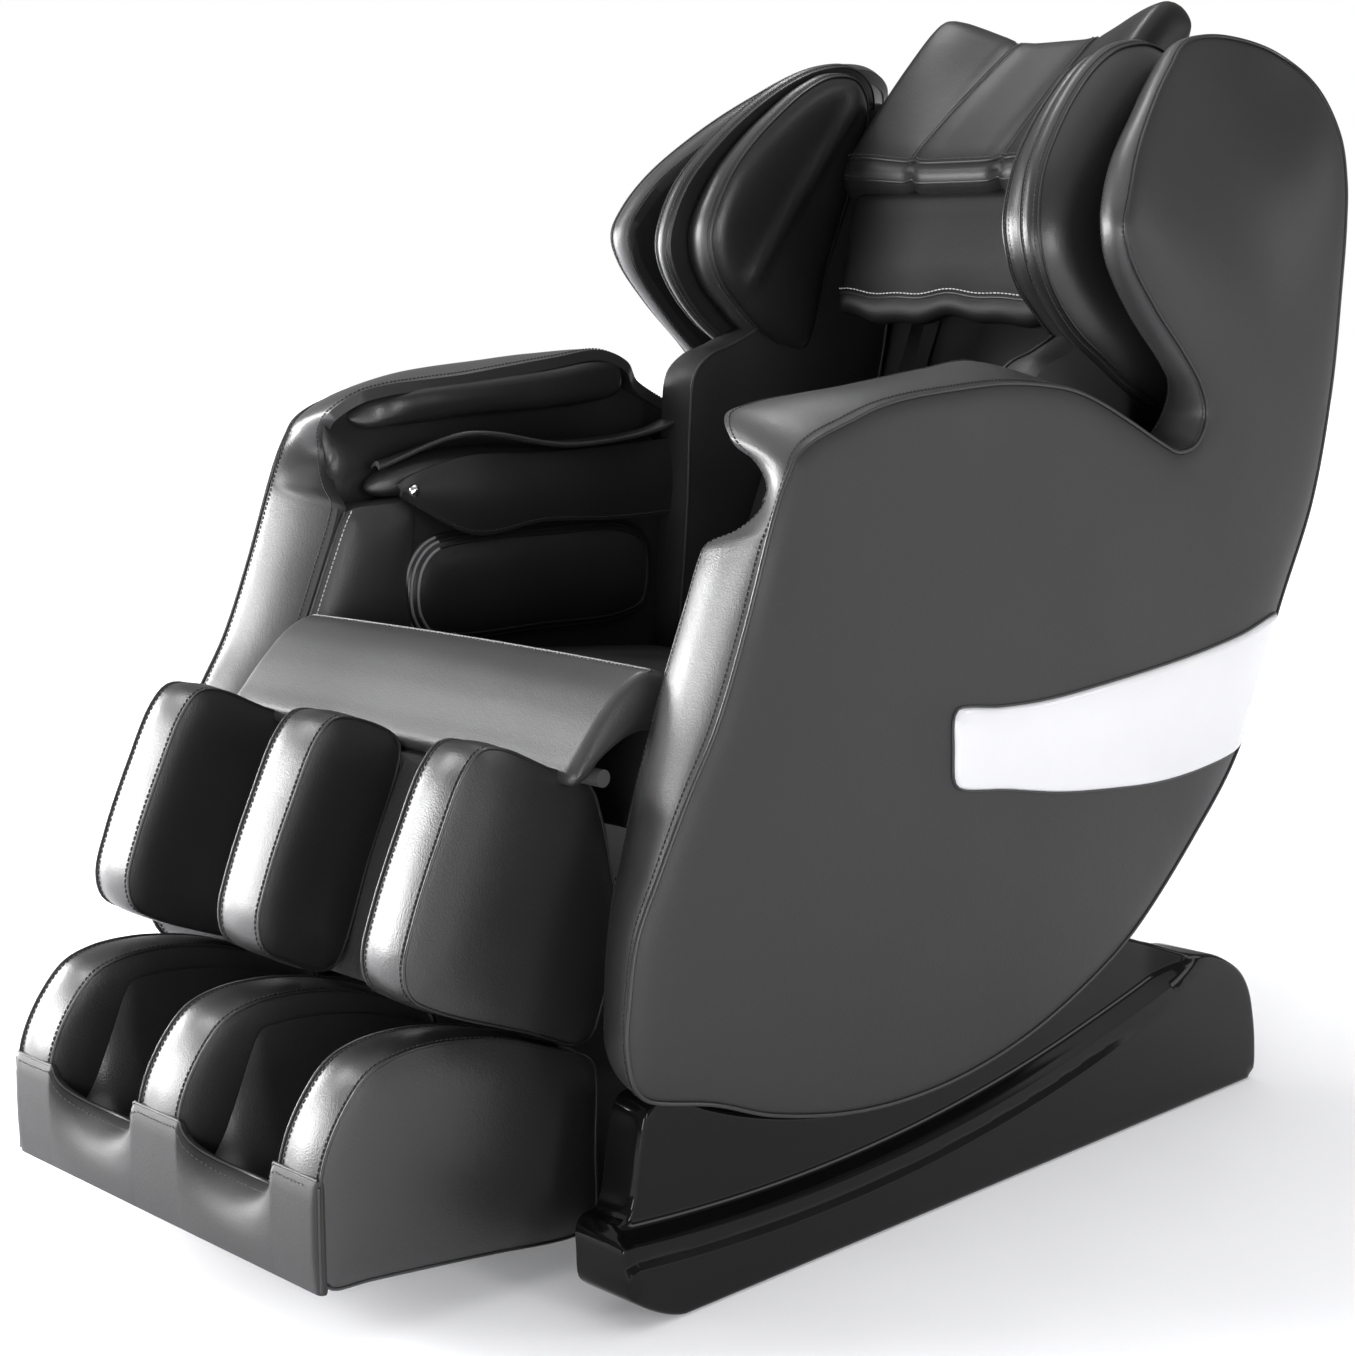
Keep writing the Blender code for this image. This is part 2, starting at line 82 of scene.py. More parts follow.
# name, place, target, width and height, watts
SOFTBOXES = [
    ("front_box", (-2.3, -2.7, 1.1), (0.1, -0.3, 0.45), (1.6, 1.5), 240),
    ("left_box", (-3.5, -0.9, 0.7), (0.3, -0.35, 0.5), (1.2, 1.5), 185),
    ("high_box", (-2.0, -1.6, 2.7), (0.0, -0.3, 0.5), (0.8, 0.8), 42),
    ("rear_box", (3.0, 2.4, 1.6), (0.3, 0.1, 0.6), (1.6, 1.4), 26),
    ("side_box", (3.6, -0.6, 1.0), (0.35, -0.3, 0.6), (0.7, 1.5), 50),
    ("low_box", (1.9, -2.9, 0.6), (-0.2, -0.2, 0.55), (0.9, 0.9), 40),
    ("top_box", (-0.9, 0.9, 3.0), (0.0, 0.2, 0.8), (0.5, 0.5), 14),
]
for lamp_row in SOFTBOXES:
    softbox(*lamp_row)
sun = bpy.data.objects.new("ceiling", bpy.data.lights.new("ceiling", "SUN"))
sun.data.energy = 1.2
sun.data.angle = math.radians(75)
bpy.context.scene.collection.objects.link(sun)

WHITE = (1.0, 1.0, 1.0, 1.0)
AMBIENT = 0.34  # strength of the surroundings as a light; the camera sees them as plain white

world = bpy.data.worlds.new("studio_air")
bpy.context.scene.world = world
world.use_nodes = True
air = world.node_tree
lit = air.nodes["Background"]
lit.inputs["Color"].default_value = WHITE
lit.inputs["Strength"].default_value = AMBIENT
seen = air.nodes.new("ShaderNodeBackground")
seen.inputs["Color"].default_value = WHITE
seen.inputs["Strength"].default_value = 1.0
rays = air.nodes.new("ShaderNodeLightPath")
choose = air.nodes.new("ShaderNodeMixShader")
air.links.new(rays.outputs["Is Camera Ray"], choose.inputs[0])
air.links.new(lit.outputs[0], choose.inputs[1])
air.links.new(seen.outputs[0], choose.inputs[2])
air.links.new(choose.outputs[0], air.nodes["World Output"].inputs["Surface"])


# ---------------------------------------------------------------- materials
def node(tree, kind, **values):
    """A node with its sockets set by name; a socket given as value is linked, not set."""
    made = tree.nodes.new(kind)
    for name, value in values.items():
        if hasattr(made, name):
            setattr(made, name, value)
            continue
        socket = made.inputs[name.replace("_", " ")]
        if isinstance(value, bpy.types.NodeSocket):
            tree.links.new(value, socket)
        else:
            socket.default_value = value
    return made


def effect(name, inputs, outputs, build):
    """A shader node group with named sockets, built once."""
    group = bpy.data.node_groups.new(name, "ShaderNodeTree")
    for label, default in inputs.items():
        kind = "NodeSocketVector" if default is None else "NodeSocketFloat"
        socket = group.interface.new_socket(label, in_out="INPUT", socket_type=kind)
        if default is not None:
            socket.default_value = default
    for label, kind in outputs.items():
        group.interface.new_socket(label, in_out="OUTPUT", socket_type=kind)
    start = group.nodes.new("NodeGroupInput")
    end = group.nodes.new("NodeGroupOutput")
    for label, socket in build(group, start.outputs).items():
        group.links.new(socket, end.inputs[label])
    return group


def maths(tree, operation, a, b=0.0):
    """One Math node and its result."""
    made = tree.nodes.new("ShaderNodeMath")
    made.operation = operation
    for socket, value in zip(made.inputs, (a, b)):
        if isinstance(value, bpy.types.NodeSocket):
            tree.links.new(value, socket)
        else:
            socket.default_value = value
    return made.outputs[0]


def grain_build(tree, given):
    """Leather pores: rounded cells with fine creases, broken up by a slower noise."""
    cells = node(tree, "ShaderNodeTexVoronoi", Vector=given["Place"], Scale=given["Cells"], Randomness=1.0)
    creases = node(tree, "ShaderNodeTexNoise", Vector=given["Place"], Scale=90.0, Detail=4.0)
    slow = node(tree, "ShaderNodeTexNoise", Vector=given["Place"], Scale=6.0, Detail=2.0)
    relief = maths(tree, "ADD", maths(tree, "MULTIPLY", cells.outputs["Distance"], 0.5),
                   maths(tree, "MULTIPLY", creases.outputs["Fac"], 0.6))
    return {"Relief": relief, "Patches": slow.outputs["Fac"]}


def weave_build(tree, given):
    """Two crossed sets of threads, one over the other."""
    split = node(tree, "ShaderNodeSeparateXYZ", Vector=given["Place"])
    ribs = []
    for axis in ("X", "Z"):
        turn = maths(tree, "MULTIPLY", split.outputs[axis], given["Threads"])
        ribs.append(maths(tree, "ABSOLUTE", maths(tree, "SINE", turn)))
    over = maths(tree, "MAXIMUM", ribs[0], ribs[1])
    fluff = node(tree, "ShaderNodeTexNoise", Vector=given["Place"], Scale=400.0)
    return {"Relief": maths(tree, "ADD", over, maths(tree, "MULTIPLY", fluff.outputs["Fac"], 0.4)),
            "Patches": fluff.outputs["Fac"]}


def speckle_build(tree, given):
    """Fine orange peel of paint and moulded plastic, with slow patches of handling."""
    fine = node(tree, "ShaderNodeTexNoise", Vector=given["Place"], Scale=given["Fineness"], Detail=3.0)
    slow = node(tree, "ShaderNodeTexNoise", Vector=given["Place"], Scale=9.0, Detail=3.0)
    return {"Relief": fine.outputs["Fac"], "Patches": slow.outputs["Fac"]}


OUT = {"Relief": "NodeSocketFloat", "Patches": "NodeSocketFloat"}
GRAIN = effect("leather_grain", {"Place": None, "Cells": 700.0}, OUT, grain_build)
WEAVE = effect("lining_weave", {"Place": None, "Threads": 2600.0}, OUT, weave_build)
SPECKLE = effect("moulded_speckle", {"Place": None, "Fineness": 500.0}, OUT, speckle_build)


def finish_of(name, group, dark, light, rough, relief, metallic=0.0, coat=0.0, coat_rough=0.05,
              specular=0.5, **settings):
    """A Principled material: patches mix two colours and two roughnesses, relief goes to the bump.

    The map from patches to roughness runs between 0.3 and 0.7, where a noise has most of its values.
    """
    made = bpy.data.materials.new(name)
    made.use_nodes = True
    tree = made.node_tree
    shader = tree.nodes["Principled BSDF"]
    place = node(tree, "ShaderNodeTexCoord").outputs["Object"]
    pattern = tree.nodes.new("ShaderNodeGroup")
    pattern.node_tree = group
    tree.links.new(place, pattern.inputs["Place"])
    for label, value in settings.items():
        pattern.inputs[label].default_value = value
    mix = node(tree, "ShaderNodeMix", data_type="RGBA")
    tree.links.new(pattern.outputs["Patches"], mix.inputs["Factor"])
    mix.inputs[6].default_value = (*dark, 1.0)
    mix.inputs[7].default_value = (*light, 1.0)
    tree.links.new(mix.outputs[2], shader.inputs["Base Color"])
    spread = node(tree, "ShaderNodeMapRange", Value=pattern.outputs["Patches"], From_Min=0.3, From_Max=0.7,
                  To_Min=rough[0], To_Max=rough[1])
    tree.links.new(spread.outputs[0], shader.inputs["Roughness"])
    bump = node(tree, "ShaderNodeBump", Height=pattern.outputs["Relief"], Strength=1.0, Distance=relief)
    tree.links.new(bump.outputs["Normal"], shader.inputs["Normal"])
    for label, value in (("Metallic", metallic), ("Specular IOR Level", specular), ("Coat Weight", coat),
                         ("Coat Roughness", coat_rough)):
        shader.inputs[label].default_value = value
    return made


def grey(value):
    """A neutral colour, very slightly cool."""
    return (value, value, value * 1.03)


LEATHER = finish_of("black_leather", GRAIN, grey(0.010), grey(0.016), (0.30, 0.40), 0.00022, Cells=620.0)
# painted sheen: a lighter grey copy of the black leather, used for the bands, strips, piping and front flap
# whose silvery look is the softboxes' reflection
PAINTED_SHEEN_LEATHER = finish_of("painted_sheen_leather", GRAIN, grey(0.020), grey(0.030), (0.34, 0.44), 0.00022, Cells=620.0)
# painted shade: darker, less shiny copies of the black leather for the pillow and the neck cushion, so that
# they stay dark in front of the softboxes
PAINTED_DARK_CUSHION_LEATHER = finish_of("cushion_leather_painted_shade", GRAIN, grey(0.006), grey(0.010), (0.34, 0.44), 0.00022, specular=0.22,
                    Cells=620.0)
NECK_PAINTED_SHADE_LEATHER = finish_of("neck_leather_painted_shade", GRAIN, grey(0.004), grey(0.007), (0.40, 0.50), 0.00022,
                         specular=0.10, Cells=620.0)
# painted highlight: pale grey piping that stands in for the light caught along the front rim of the hip
# cushions
HIGHLIGHT_PIPING = finish_of("painted_highlight_piping", GRAIN, grey(0.16), grey(0.24), (0.30, 0.40), 0.0001, Cells=900.0)
PANEL = finish_of("panel_leather", GRAIN, grey(0.013), grey(0.017), (0.44, 0.54), 0.00018, specular=0.32,
                  Cells=520.0)
FRONT = finish_of("front_leather", GRAIN, grey(0.012), grey(0.015), (0.5, 0.6), 0.00018, specular=0.3,
                  Cells=520.0)
SEAM = finish_of("seam_piping", GRAIN, grey(0.006), grey(0.010), (0.35, 0.45), 0.0001, Cells=900.0)
THREAD = finish_of("black_thread", WEAVE, grey(0.012), grey(0.030), (0.5, 0.7), 0.0002, Threads=5200.0)
PALE_THREAD = finish_of("pale_thread", WEAVE, grey(0.35), grey(0.55), (0.5, 0.7), 0.0002, Threads=5200.0)
FABRIC = finish_of("lining_fabric", WEAVE, grey(0.012), grey(0.022), (0.75, 0.9), 0.0003, Threads=2600.0)
GLOSS = finish_of("piano_black", SPECKLE, grey(0.002), grey(0.003), (0.07, 0.12), 0.00001, specular=0.16,
                  Fineness=60.0)
SILVER = finish_of("silver_lacquer", SPECKLE, grey(0.50), grey(0.56), (0.16, 0.24), 0.00001, coat=0.8,
                   Fineness=90.0)
STEEL = finish_of("powder_coat", SPECKLE, grey(0.030), grey(0.045), (0.45, 0.6), 0.0002, Fineness=900.0)
CHROME = finish_of("bright_chrome", SPECKLE, grey(0.70), grey(0.80), (0.06, 0.16), 0.00001, metallic=1.0,
                   Fineness=120.0)
PLASTIC = finish_of("moulded_plastic", SPECKLE, grey(0.014), grey(0.022), (0.38, 0.5), 0.00012,
                    Fineness=1100.0)
RUBBER = finish_of("wheel_rubber", SPECKLE, grey(0.012), grey(0.018), (0.7, 0.85), 0.0003, Fineness=700.0)
FLOOR = finish_of("studio_floor", SPECKLE, grey(0.90), grey(0.92), (0.6, 0.7), 0.0, Fineness=40.0)
# the floor brightens with distance so that it meets the white background without a line
FLOOR_GLOW = 0.7
GLOW_STARTS, GLOW_FULL = 0.8, 4.0  # metres from the middle of the chair
floor_tree = FLOOR.node_tree
floor_shader = floor_tree.nodes["Principled BSDF"]
from_middle = node(floor_tree, "ShaderNodeVectorMath", operation="LENGTH",
                   Vector=node(floor_tree, "ShaderNodeTexCoord").outputs["Object"])
glow = node(floor_tree, "ShaderNodeMapRange", Value=from_middle.outputs["Value"], From_Min=GLOW_STARTS,
            From_Max=GLOW_FULL, To_Min=0.12, To_Max=1.0)
floor_tree.links.new(glow.outputs[0], floor_shader.inputs["Emission Color"])
floor_shader.inputs["Emission Strength"].default_value = FLOOR_GLOW
FINISH_OF_SLOT = {
    "black_leather": LEATHER, "panel_leather": PANEL, "gloss_plastic": GLOSS, "silver_trim": SILVER,
    "painted_steel": STEEL, "chrome": CHROME, "black_plastic": PLASTIC, "black_fabric": FABRIC,
    "rubber": RUBBER,
}
SLOT_OF_FINISH = {finish.name: slot for slot, finish in FINISH_OF_SLOT.items()}
SLOT_OF_FINISH[FRONT.name] = "panel_leather"
for part in frame["record"]["subparts"]:
    shown = frame["nodes"][part["node"]]
    shown.data.materials.clear()
    shown.data.materials.append(FINISH_OF_SLOT[part["material_slot"]])


# ---------------------------------------------------------------- meshes from arrays
def outward(verts, faces):
    """The faces, turned round where the form's signed volume is negative."""
    total = 0.0
    for block in faces:
        for i in range(1, block.shape[1] - 1):
            a, b, c = verts[block[:, 0]], verts[block[:, i]], verts[block[:, i + 1]]
            total += np.einsum("ij,ij->i", a, np.cross(b, c)).sum()
    return faces if total > 0 else [block[:, ::-1] for block in faces]


def put(name, form, surface, body, replaces=(), fill=None, crease=40.0, behind=None):
    """A piece from (verts, faces) arrays, riding on a body; behind is what its later blocks are made of.
    """
    verts, faces = form
    faces = outward(verts, faces)
    mesh = bpy.data.meshes.new(name)
    mesh.from_pydata(verts.tolist(), [], [face for block in faces for face in block.tolist()])
    mesh.materials.append(surface)
    if behind:
        mesh.materials.append(behind)
        blocks = np.ones(len(mesh.polygons), dtype=np.int32)
        blocks[:len(faces[0])] = 0
        mesh.polygons.foreach_set("material_index", blocks)
    mesh.shade_smooth()
    mesh.set_sharp_from_angle(angle=math.radians(crease))
    piece = bpy.data.objects.new(name, mesh)
    bpy.context.scene.collection.objects.link(piece)
    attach(piece, body)
    if replaces:
        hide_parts(*replaces)
    return piece


def mirrored(form):
    """The same form on the sitter's other side."""
    verts, faces = form
    return verts * (-1.0, 1.0, 1.0), faces


def pair(name, form, surface, body, replaces=(), **more):
    """A left piece and its mirror image; names and bodies that end in * get left or right."""
    for side, shape in (("left", form), ("right", mirrored(form))):
        put(f"{name}_{side}", shape, surface, body.replace("*", side),
            [node_name.replace("*", side) for node_name in replaces], **more)


def together(*forms):
    """Several forms as one."""
    verts, faces, start = [], [], 0
    for points, blocks in forms:
        verts.append(points)
        faces += [block + start for block in blocks]
        start += len(points)
    return np.vstack(verts), faces


# ---------------------------------------------------------------- lines
def smooth_line(points, step, closed=False):
    """A centripetal Catmull-Rom line through the points, cut again into equal steps of its length."""
    p = np.asarray(points, float)
    if closed:
        run = np.vstack([p[-1:], p, p[:2]])
    else:
        run = np.vstack([2 * p[:1] - p[1:2], p, 2 * p[-1:] - p[-2:-1]])
    a, b, c, d = run[:-3], run[1:-2], run[2:-1], run[3:]
    k1, k2, k3 = (np.sqrt(np.linalg.norm(q - r, axis=1, keepdims=True)) + 1e-6
                  for q, r in ((b, a), (c, b), (d, c)))
    leave = k2 * ((b - a) / k1 - (c - a) / (k1 + k2) + (c - b) / k2)
    arrive = k2 * ((c - b) / k2 - (d - b) / (k2 + k3) + (d - c) / k3)
    t = np.linspace(0, 1, 24, endpoint=False)[None, :, None]
    b, c, leave, arrive = b[:, None], c[:, None], leave[:, None], arrive[:, None]
    line = ((2 * t**3 - 3 * t**2 + 1) * b + (t**3 - 2 * t**2 + t) * leave
            + (3 * t**2 - 2 * t**3) * c + (t**3 - t**2) * arrive).reshape(-1, p.shape[1])
    line = np.vstack([line, line[:1] if closed else p[-1:]])
    length = np.concatenate([[0], np.cumsum(np.linalg.norm(np.diff(line, axis=0), axis=1))])
    count = max(int(round(length[-1] / step)), 4)
    places = np.linspace(0, length[-1], count + 1)
    places = places[:-1] if closed else places
    return np.stack([np.interp(places, length, line[:, i]) for i in range(p.shape[1])], 1)


def direction(line, closed=False):
    """Unit direction of travel at each point of a line."""
    if closed:
        run = np.roll(line, -1, 0) - np.roll(line, 1, 0)
    else:
        run = np.gradient(line, axis=0)
    return run / (np.linalg.norm(run, axis=1, keepdims=True) + 1e-12)


def inward(loop):
    """Unit normals of a closed flat loop, towards its inside."""
    run = direction(loop, True)
    area = np.sum(loop[:, 0] * np.roll(loop[:, 1], -1) - np.roll(loop[:, 0], -1) * loop[:, 1])
    return np.stack([-run[:, 1], run[:, 0]], 1) * np.sign(area)


def smoothstep(low, high, value):
    """0 below low, 1 above high, smooth between."""
    t = np.clip((value - low) / (high - low), 0, 1)
    return t * t * (3 - 2 * t)


# ---------------------------------------------------------------- quilted faces
def chunks(points):
    """The points in lots of about 1500, so that a table of distances stays small."""
    return np.array_split(points, max(1, len(points) // 1500))


def edge_distance(points, loop):
    """True distance to the loop's segments."""
    a, b = loop[None], np.roll(loop, -1, 0)[None]
    best = []
    for chunk in chunks(points):
        q = chunk[:, None]
        along = np.clip(((q - a) * (b - a)).sum(2) / (((b - a) ** 2).sum(2) + 1e-15), 0, 1)
        best.append(np.linalg.norm(q - a - along[..., None] * (b - a), axis=2).min(1))
    return np.concatenate(best)


def soft_distance(points, loop, true):
    """A distance without creases: the power mean of the boundary's 1/r^4, true close to the edge."""
    step = np.linalg.norm(np.roll(loop, -1, 0) - loop, axis=1)
    total = []
    for chunk in chunks(points):
        r2 = ((chunk[:, None] - loop[None]) ** 2).sum(2) + 1e-10
        total.append((step / r2**2).sum(1))
    smooth = (np.concatenate(total) / (math.pi / 2)) ** (-1 / 3)
    near = smoothstep(2 * step.mean(), 5 * step.mean(), true)
    return true * (1 - near) + smooth * near


def nearest(points, others):
    """Distance from each point to the nearest of the others."""
    best = [np.sqrt(((chunk[:, None] - others[None]) ** 2).sum(2)).min(1) if len(chunk) else np.zeros(0)
            for chunk in chunks(points)]
    return np.concatenate(best)


def carried(points, loop, values, power=3.0):
    """Boundary values spread over the inside, each weighted by 1 / distance^power."""
    result = []
    for chunk in chunks(points):
        r2 = ((chunk[:, None] - loop[None]) ** 2).sum(2) + 1e-9
        weight = r2 ** (-power / 2)
        result.append(weight @ values / (weight.sum(1)[:, None] if values.ndim > 1 else weight.sum(1)))
    return np.concatenate(result)


class Face:
    """A flat outline cut into triangles: rings close to the edge, then a triangular grid.

    points are the flat places, the loop's own first; true and soft are distances from the edge.
    """

    def __init__(self, loop, step, rings=(0.0015, 0.0035, 0.0065, 0.0105, 0.016), lines=()):
        self.loop = loop
        side = inward(loop)
        places = [loop]
        for depth in rings:
            moved = loop + side * depth
            places.append(moved[edge_distance(moved, loop) > depth * 0.985])
        low, high = loop.min(0), loop.max(0)
        rows = np.arange(low[1], high[1], step * 0.866)
        columns = np.arange(low[0], high[0] + step, step)
        grid = np.stack(np.meshgrid(columns, rows), 2)
        grid[1::2, :, 0] += step / 2
        grid = grid.reshape(-1, 2)
        grid = grid[self.inside(grid)]
        grid = grid[edge_distance(grid, loop) > rings[-1] + step * 0.55]
        for line in lines:
            line = line[self.inside(line)]
            line = line[edge_distance(line, loop) > 0.0012]
            places = [places[0], *[old[nearest(old, line) > 0.0022] for old in places[1:]], line]
            grid = grid[nearest(grid, line) > step * 0.6]
        places.append(grid)
        flat = np.vstack(places)
        count = len(loop)
        result = delaunay_2d_cdt([Vector(p) for p in flat], [], [list(range(count))], 1, 1e-7)
        self.points = np.array([tuple(p) for p in result[0]])
        self.triangles = np.array([tuple(f) for f in result[2] if len(f) == 3])
        self.true = edge_distance(self.points, loop)
        self.true[:count] = 0.0
        self.soft = soft_distance(self.points, loop, self.true)
        self.soft[:count] = 0.0

    def inside(self, points):
        """Even-odd test of which points lie in the loop."""
        a, b = self.loop, np.roll(self.loop, -1, 0)
        hits = np.zeros(len(points), int)
        for start in range(0, len(points), 4000):
            q = points[start:start + 4000, None]
            crosses = (a[None, :, 1] > q[..., 1]) != (b[None, :, 1] > q[..., 1])
            at = a[:, 0] + (q[..., 1] - a[:, 1]) / (b[:, 1] - a[:, 1] + 1e-15) * (b[:, 0] - a[:, 0])
            hits[start:start + 4000] = (crosses & (q[..., 0] < at)).sum(1)
        return hits % 2 == 1

    def solid(self, front, back, order=(0, 1, 2), rows=1, bulge=0.0):
        """A closed form: the face at height front, again at height back, and a wall between them.

        order says which world axis the height, the first and the second flat coordinate are.
        The wall has rows strips and stands out by bulge at its middle, as sin(pi t).
        """
        count, total = len(self.loop), len(self.points)
        front = np.broadcast_to(front, total)
        back = np.broadcast_to(back, total)
        side = -inward(self.loop)
        layers = [np.column_stack([front, self.points]), np.column_stack([back, self.points])]
        for row in range(1, rows):
            t = row / rows
            height = front[:count] * (1 - t) + back[:count] * t
            layers.append(np.column_stack([height, self.loop + side * bulge * math.sin(math.pi * t)]))
        verts = np.vstack(layers)
        around = np.arange(count)
        after = np.roll(around, -1)
        starts = [0] + [2 * total + count * row for row in range(rows - 1)] + [total]
        wall = [np.column_stack([around + p, after + p, after + q, around + q])
                for p, q in zip(starts[:-1], starts[1:])]
        cap = self.triangles
        # the wall turns the same way as the front face's edge, so the two agree
        edges = {tuple(e) for e in np.vstack([cap[:, [0, 1]], cap[:, [1, 2]], cap[:, [2, 0]]]).tolist()}
        if (0, 1) in edges:
            wall = [block[:, ::-1] for block in wall]
        faces = [cap, cap[:, ::-1] + total, *wall]
        placed = np.empty_like(verts)
        placed[:, list(order)] = verts
        return placed, faces


def face_of(outline, cut, step, **more):
    """The face inside a smoothed outline that is cut into equal steps."""
    return Face(smooth_line(outline, cut, closed=True), step, **more)


def rolled(distance, radius):
    """Height lost towards a rounded edge: a quarter circle of this radius."""
    inside = np.clip(distance, 0, radius)
    return radius - np.sqrt(np.maximum(radius**2 - (radius - inside) ** 2, 0))


def puffed(distance, height, reach):
    """Height gained away from the edge, levelling off: height (1 - exp(-distance / reach))."""
    return height * (1 - np.exp(-distance / reach))


# ---------------------------------------------------------------- lofts, tubes and stitches
def loft(rings, closed=False):
    """Rings of points joined one to the next, each a closed loop; the two ends are filled by fans."""
    rings = np.asarray(rings, float)
    count, size = rings.shape[:2]
    verts = rings.reshape(-1, 3)
    index = np.arange(count * size).reshape(count, size)
    last = index if closed else index[:-1]
    nxt = np.roll(index, -1, 0) if closed else index[1:]
    quads = np.stack([last, np.roll(last, -1, 1), np.roll(nxt, -1, 1), nxt], 2).reshape(-1, 4)
    faces = [quads]
    if not closed:
        middle = len(verts)
        verts = np.vstack([verts, rings[0].mean(0), rings[-1].mean(0)])
        first, end = index[0], index[-1]
        faces.append(np.column_stack([np.roll(first, -1), first, np.full(size, middle)]))
        faces.append(np.column_stack([end, np.roll(end, -1), np.full(size, middle + 1)]))
    return verts, faces


def round_about(ahead, up):
    """Two unit directions across a line: one square to up, one close to it."""
    across = np.cross(ahead, np.broadcast_to(np.asarray(up, float), ahead.shape))
    across /= np.linalg.norm(across, axis=1, keepdims=True) + 1e-12
    return across, np.cross(across, ahead)


def tube(line, radius, up, closed=False, sides=8):
    """A round section carried along a line; up is a direction roughly across it."""
    ahead = direction(line, closed)
    across, over = round_about(ahead, up)
    angle = np.linspace(0, 2 * math.pi, sides, endpoint=False)
    radius = np.broadcast_to(radius, len(line))[:, None, None]
    rings = line[:, None] + radius * (across[:, None] * np.cos(angle)[None, :, None]
                                      + over[:, None] * np.sin(angle)[None, :, None])
    return loft(rings, closed)


BEAD_AT = np.array([-1.0, -0.72, 0.72, 1.0])
BEAD_WIDE = np.array([0.35, 1.0, 1.0, 0.35])


def stitches(line, up, pitch=0.0052, length=0.0038, width=0.00065, closed=False):
    """Beads laid along a line, one every pitch: six-sided, pointed at both ends."""
    line = smooth_line(line, pitch, closed)
    ahead = direction(line, closed)
    across, over = round_about(ahead, up)
    angle = np.linspace(0, 2 * math.pi, 6, endpoint=False)
    rings = (line[:, None, None] + ahead[:, None, None] * (BEAD_AT * length / 2)[None, :, None, None]
             + width * BEAD_WIDE[None, :, None, None]
             * (across[:, None, None] * np.cos(angle)[None, None, :, None]
                + over[:, None, None] * np.sin(angle)[None, None, :, None]))
    count = len(line)
    index = np.arange(count * 24).reshape(count, 4, 6)
    turned = np.roll(index, -1, 2)
    quads = np.stack([index[:, :-1], turned[:, :-1], turned[:, 1:], index[:, 1:]], 3).reshape(-1, 4)
    return rings.reshape(-1, 3), [quads, index[:, 0, ::-1], index[:, -1]]


def leaning(origin, lean, points):
    """World (y, z) of points given in a frame that leans about X."""
    points = np.asarray(points, float)
    y, z = points[..., 0], points[..., 1]
    return np.stack([origin[0] + y * math.cos(lean) - z * math.sin(lean),
                     origin[1] + y * math.sin(lean) + z * math.cos(lean)], -1)


def on_leg(points):
    """Leg rest frame: z up along the calf, y to the rear, zero at the hinge."""
    return leaning((-0.357, 0.455), math.radians(-22.6), points)


def on_back(points):
    """Back frame: z up along the lining, y the depth behind it."""
    return leaning((0.247, 0.460), math.radians(-23.5), points)


def mm(rows):
    """Rows given in millimetres, as metres."""
    return np.asarray(rows, float) / 1000


# ---------------------------------------------------------------- side shells
# One row for each place round the shell, in mm: the outer seam's y, z, x, then the inner edge of the band that
# covers the shell's rim, y, z, x, and how far the band stands out between them.
SHELL = mm([
    (-395, 197, 362, -352, 204, 270, 4), (-413, 212, 365, -358, 216, 266, 8),
    (-424, 250, 367, -358, 250, 265, 10), (-422, 292, 368, -355, 302, 265, 12),
    (-413, 342, 368, -348, 345, 265, 12), (-389, 389, 368, -338, 384, 265, 12),
    (-354, 452, 368, -318, 452, 265, 12), (-320, 507, 368, -298, 504, 265, 12),
    (-288, 580, 368, -267, 578, 265, 12), (-264, 645, 368, -243.5, 636, 265, 10),
    (-259, 659, 368, -238, 650, 269, 9), (-254, 672, 368, -227, 664, 298, 7),
    (-248, 687, 368, -218, 684, 319, 5), (-241, 702, 368, -216.5, 704, 324, 4),
    (-233, 716, 368, -223, 724, 316, 4), (-222, 732, 368, -229, 744, 292, 4),
    (-200, 745, 368, -213, 763, 268, 6), (-157, 758, 367, -175, 772, 263, 8),
    (-114, 770, 366, -125, 776, 262, 9), (-70, 777, 366, -70, 780, 262, 9), (-5, 782, 366, -10, 787, 262, 8),
    (62, 785, 366, 60, 795, 262, 8), (122, 782, 366, 130, 802, 262, 6), (174, 775, 366, 176, 788, 266, 4),
    (217, 762, 367, 215, 764, 290, 3), (273, 739, 368, 270, 741, 305, 3), (319, 718, 370, 316, 722, 306, 3),
    (354, 706, 371, 352, 712, 307, 3), (388, 714, 371, 383, 720, 308, 4), (404, 742, 371, 397, 744, 315, 5),
    (393, 772, 371, 384, 774, 330, 5), (364, 803, 371, 359, 797, 337, 6), (304, 855, 371, 300, 849, 337, 6),
    (260, 903, 371, 257, 902, 337, 6), (249, 934, 371, 249, 938, 336, 6), (263, 965, 366, 262, 967, 329, 6),
    (293, 1004, 352, 290, 1000, 318, 6), (354, 1055, 327, 348, 1043, 298, 6),
    (416, 1095, 303, 409, 1083, 275, 6), (485, 1130, 279, 480, 1119, 250, 6),
    (569, 1139, 275, 564, 1131, 242, 6), (625, 1125, 297, 616, 1116, 255, 6),
    (655, 1090, 330, 643, 1083, 282, 6), (668, 1039, 354, 655, 1036, 302, 5),
    (668, 988, 365, 655, 985, 305, 5), (664, 939, 369, 652, 940, 305, 4), (658, 870, 370, 647, 870, 305, 4),
    (647, 764, 370, 636, 766, 305, 4), (616, 641, 370, 605, 644, 305, 4), (558, 530, 370, 548, 534, 305, 4),
    (485, 379, 370, 476, 386, 305, 4), (405, 297, 370, 399, 305, 305, 3)]).tolist()
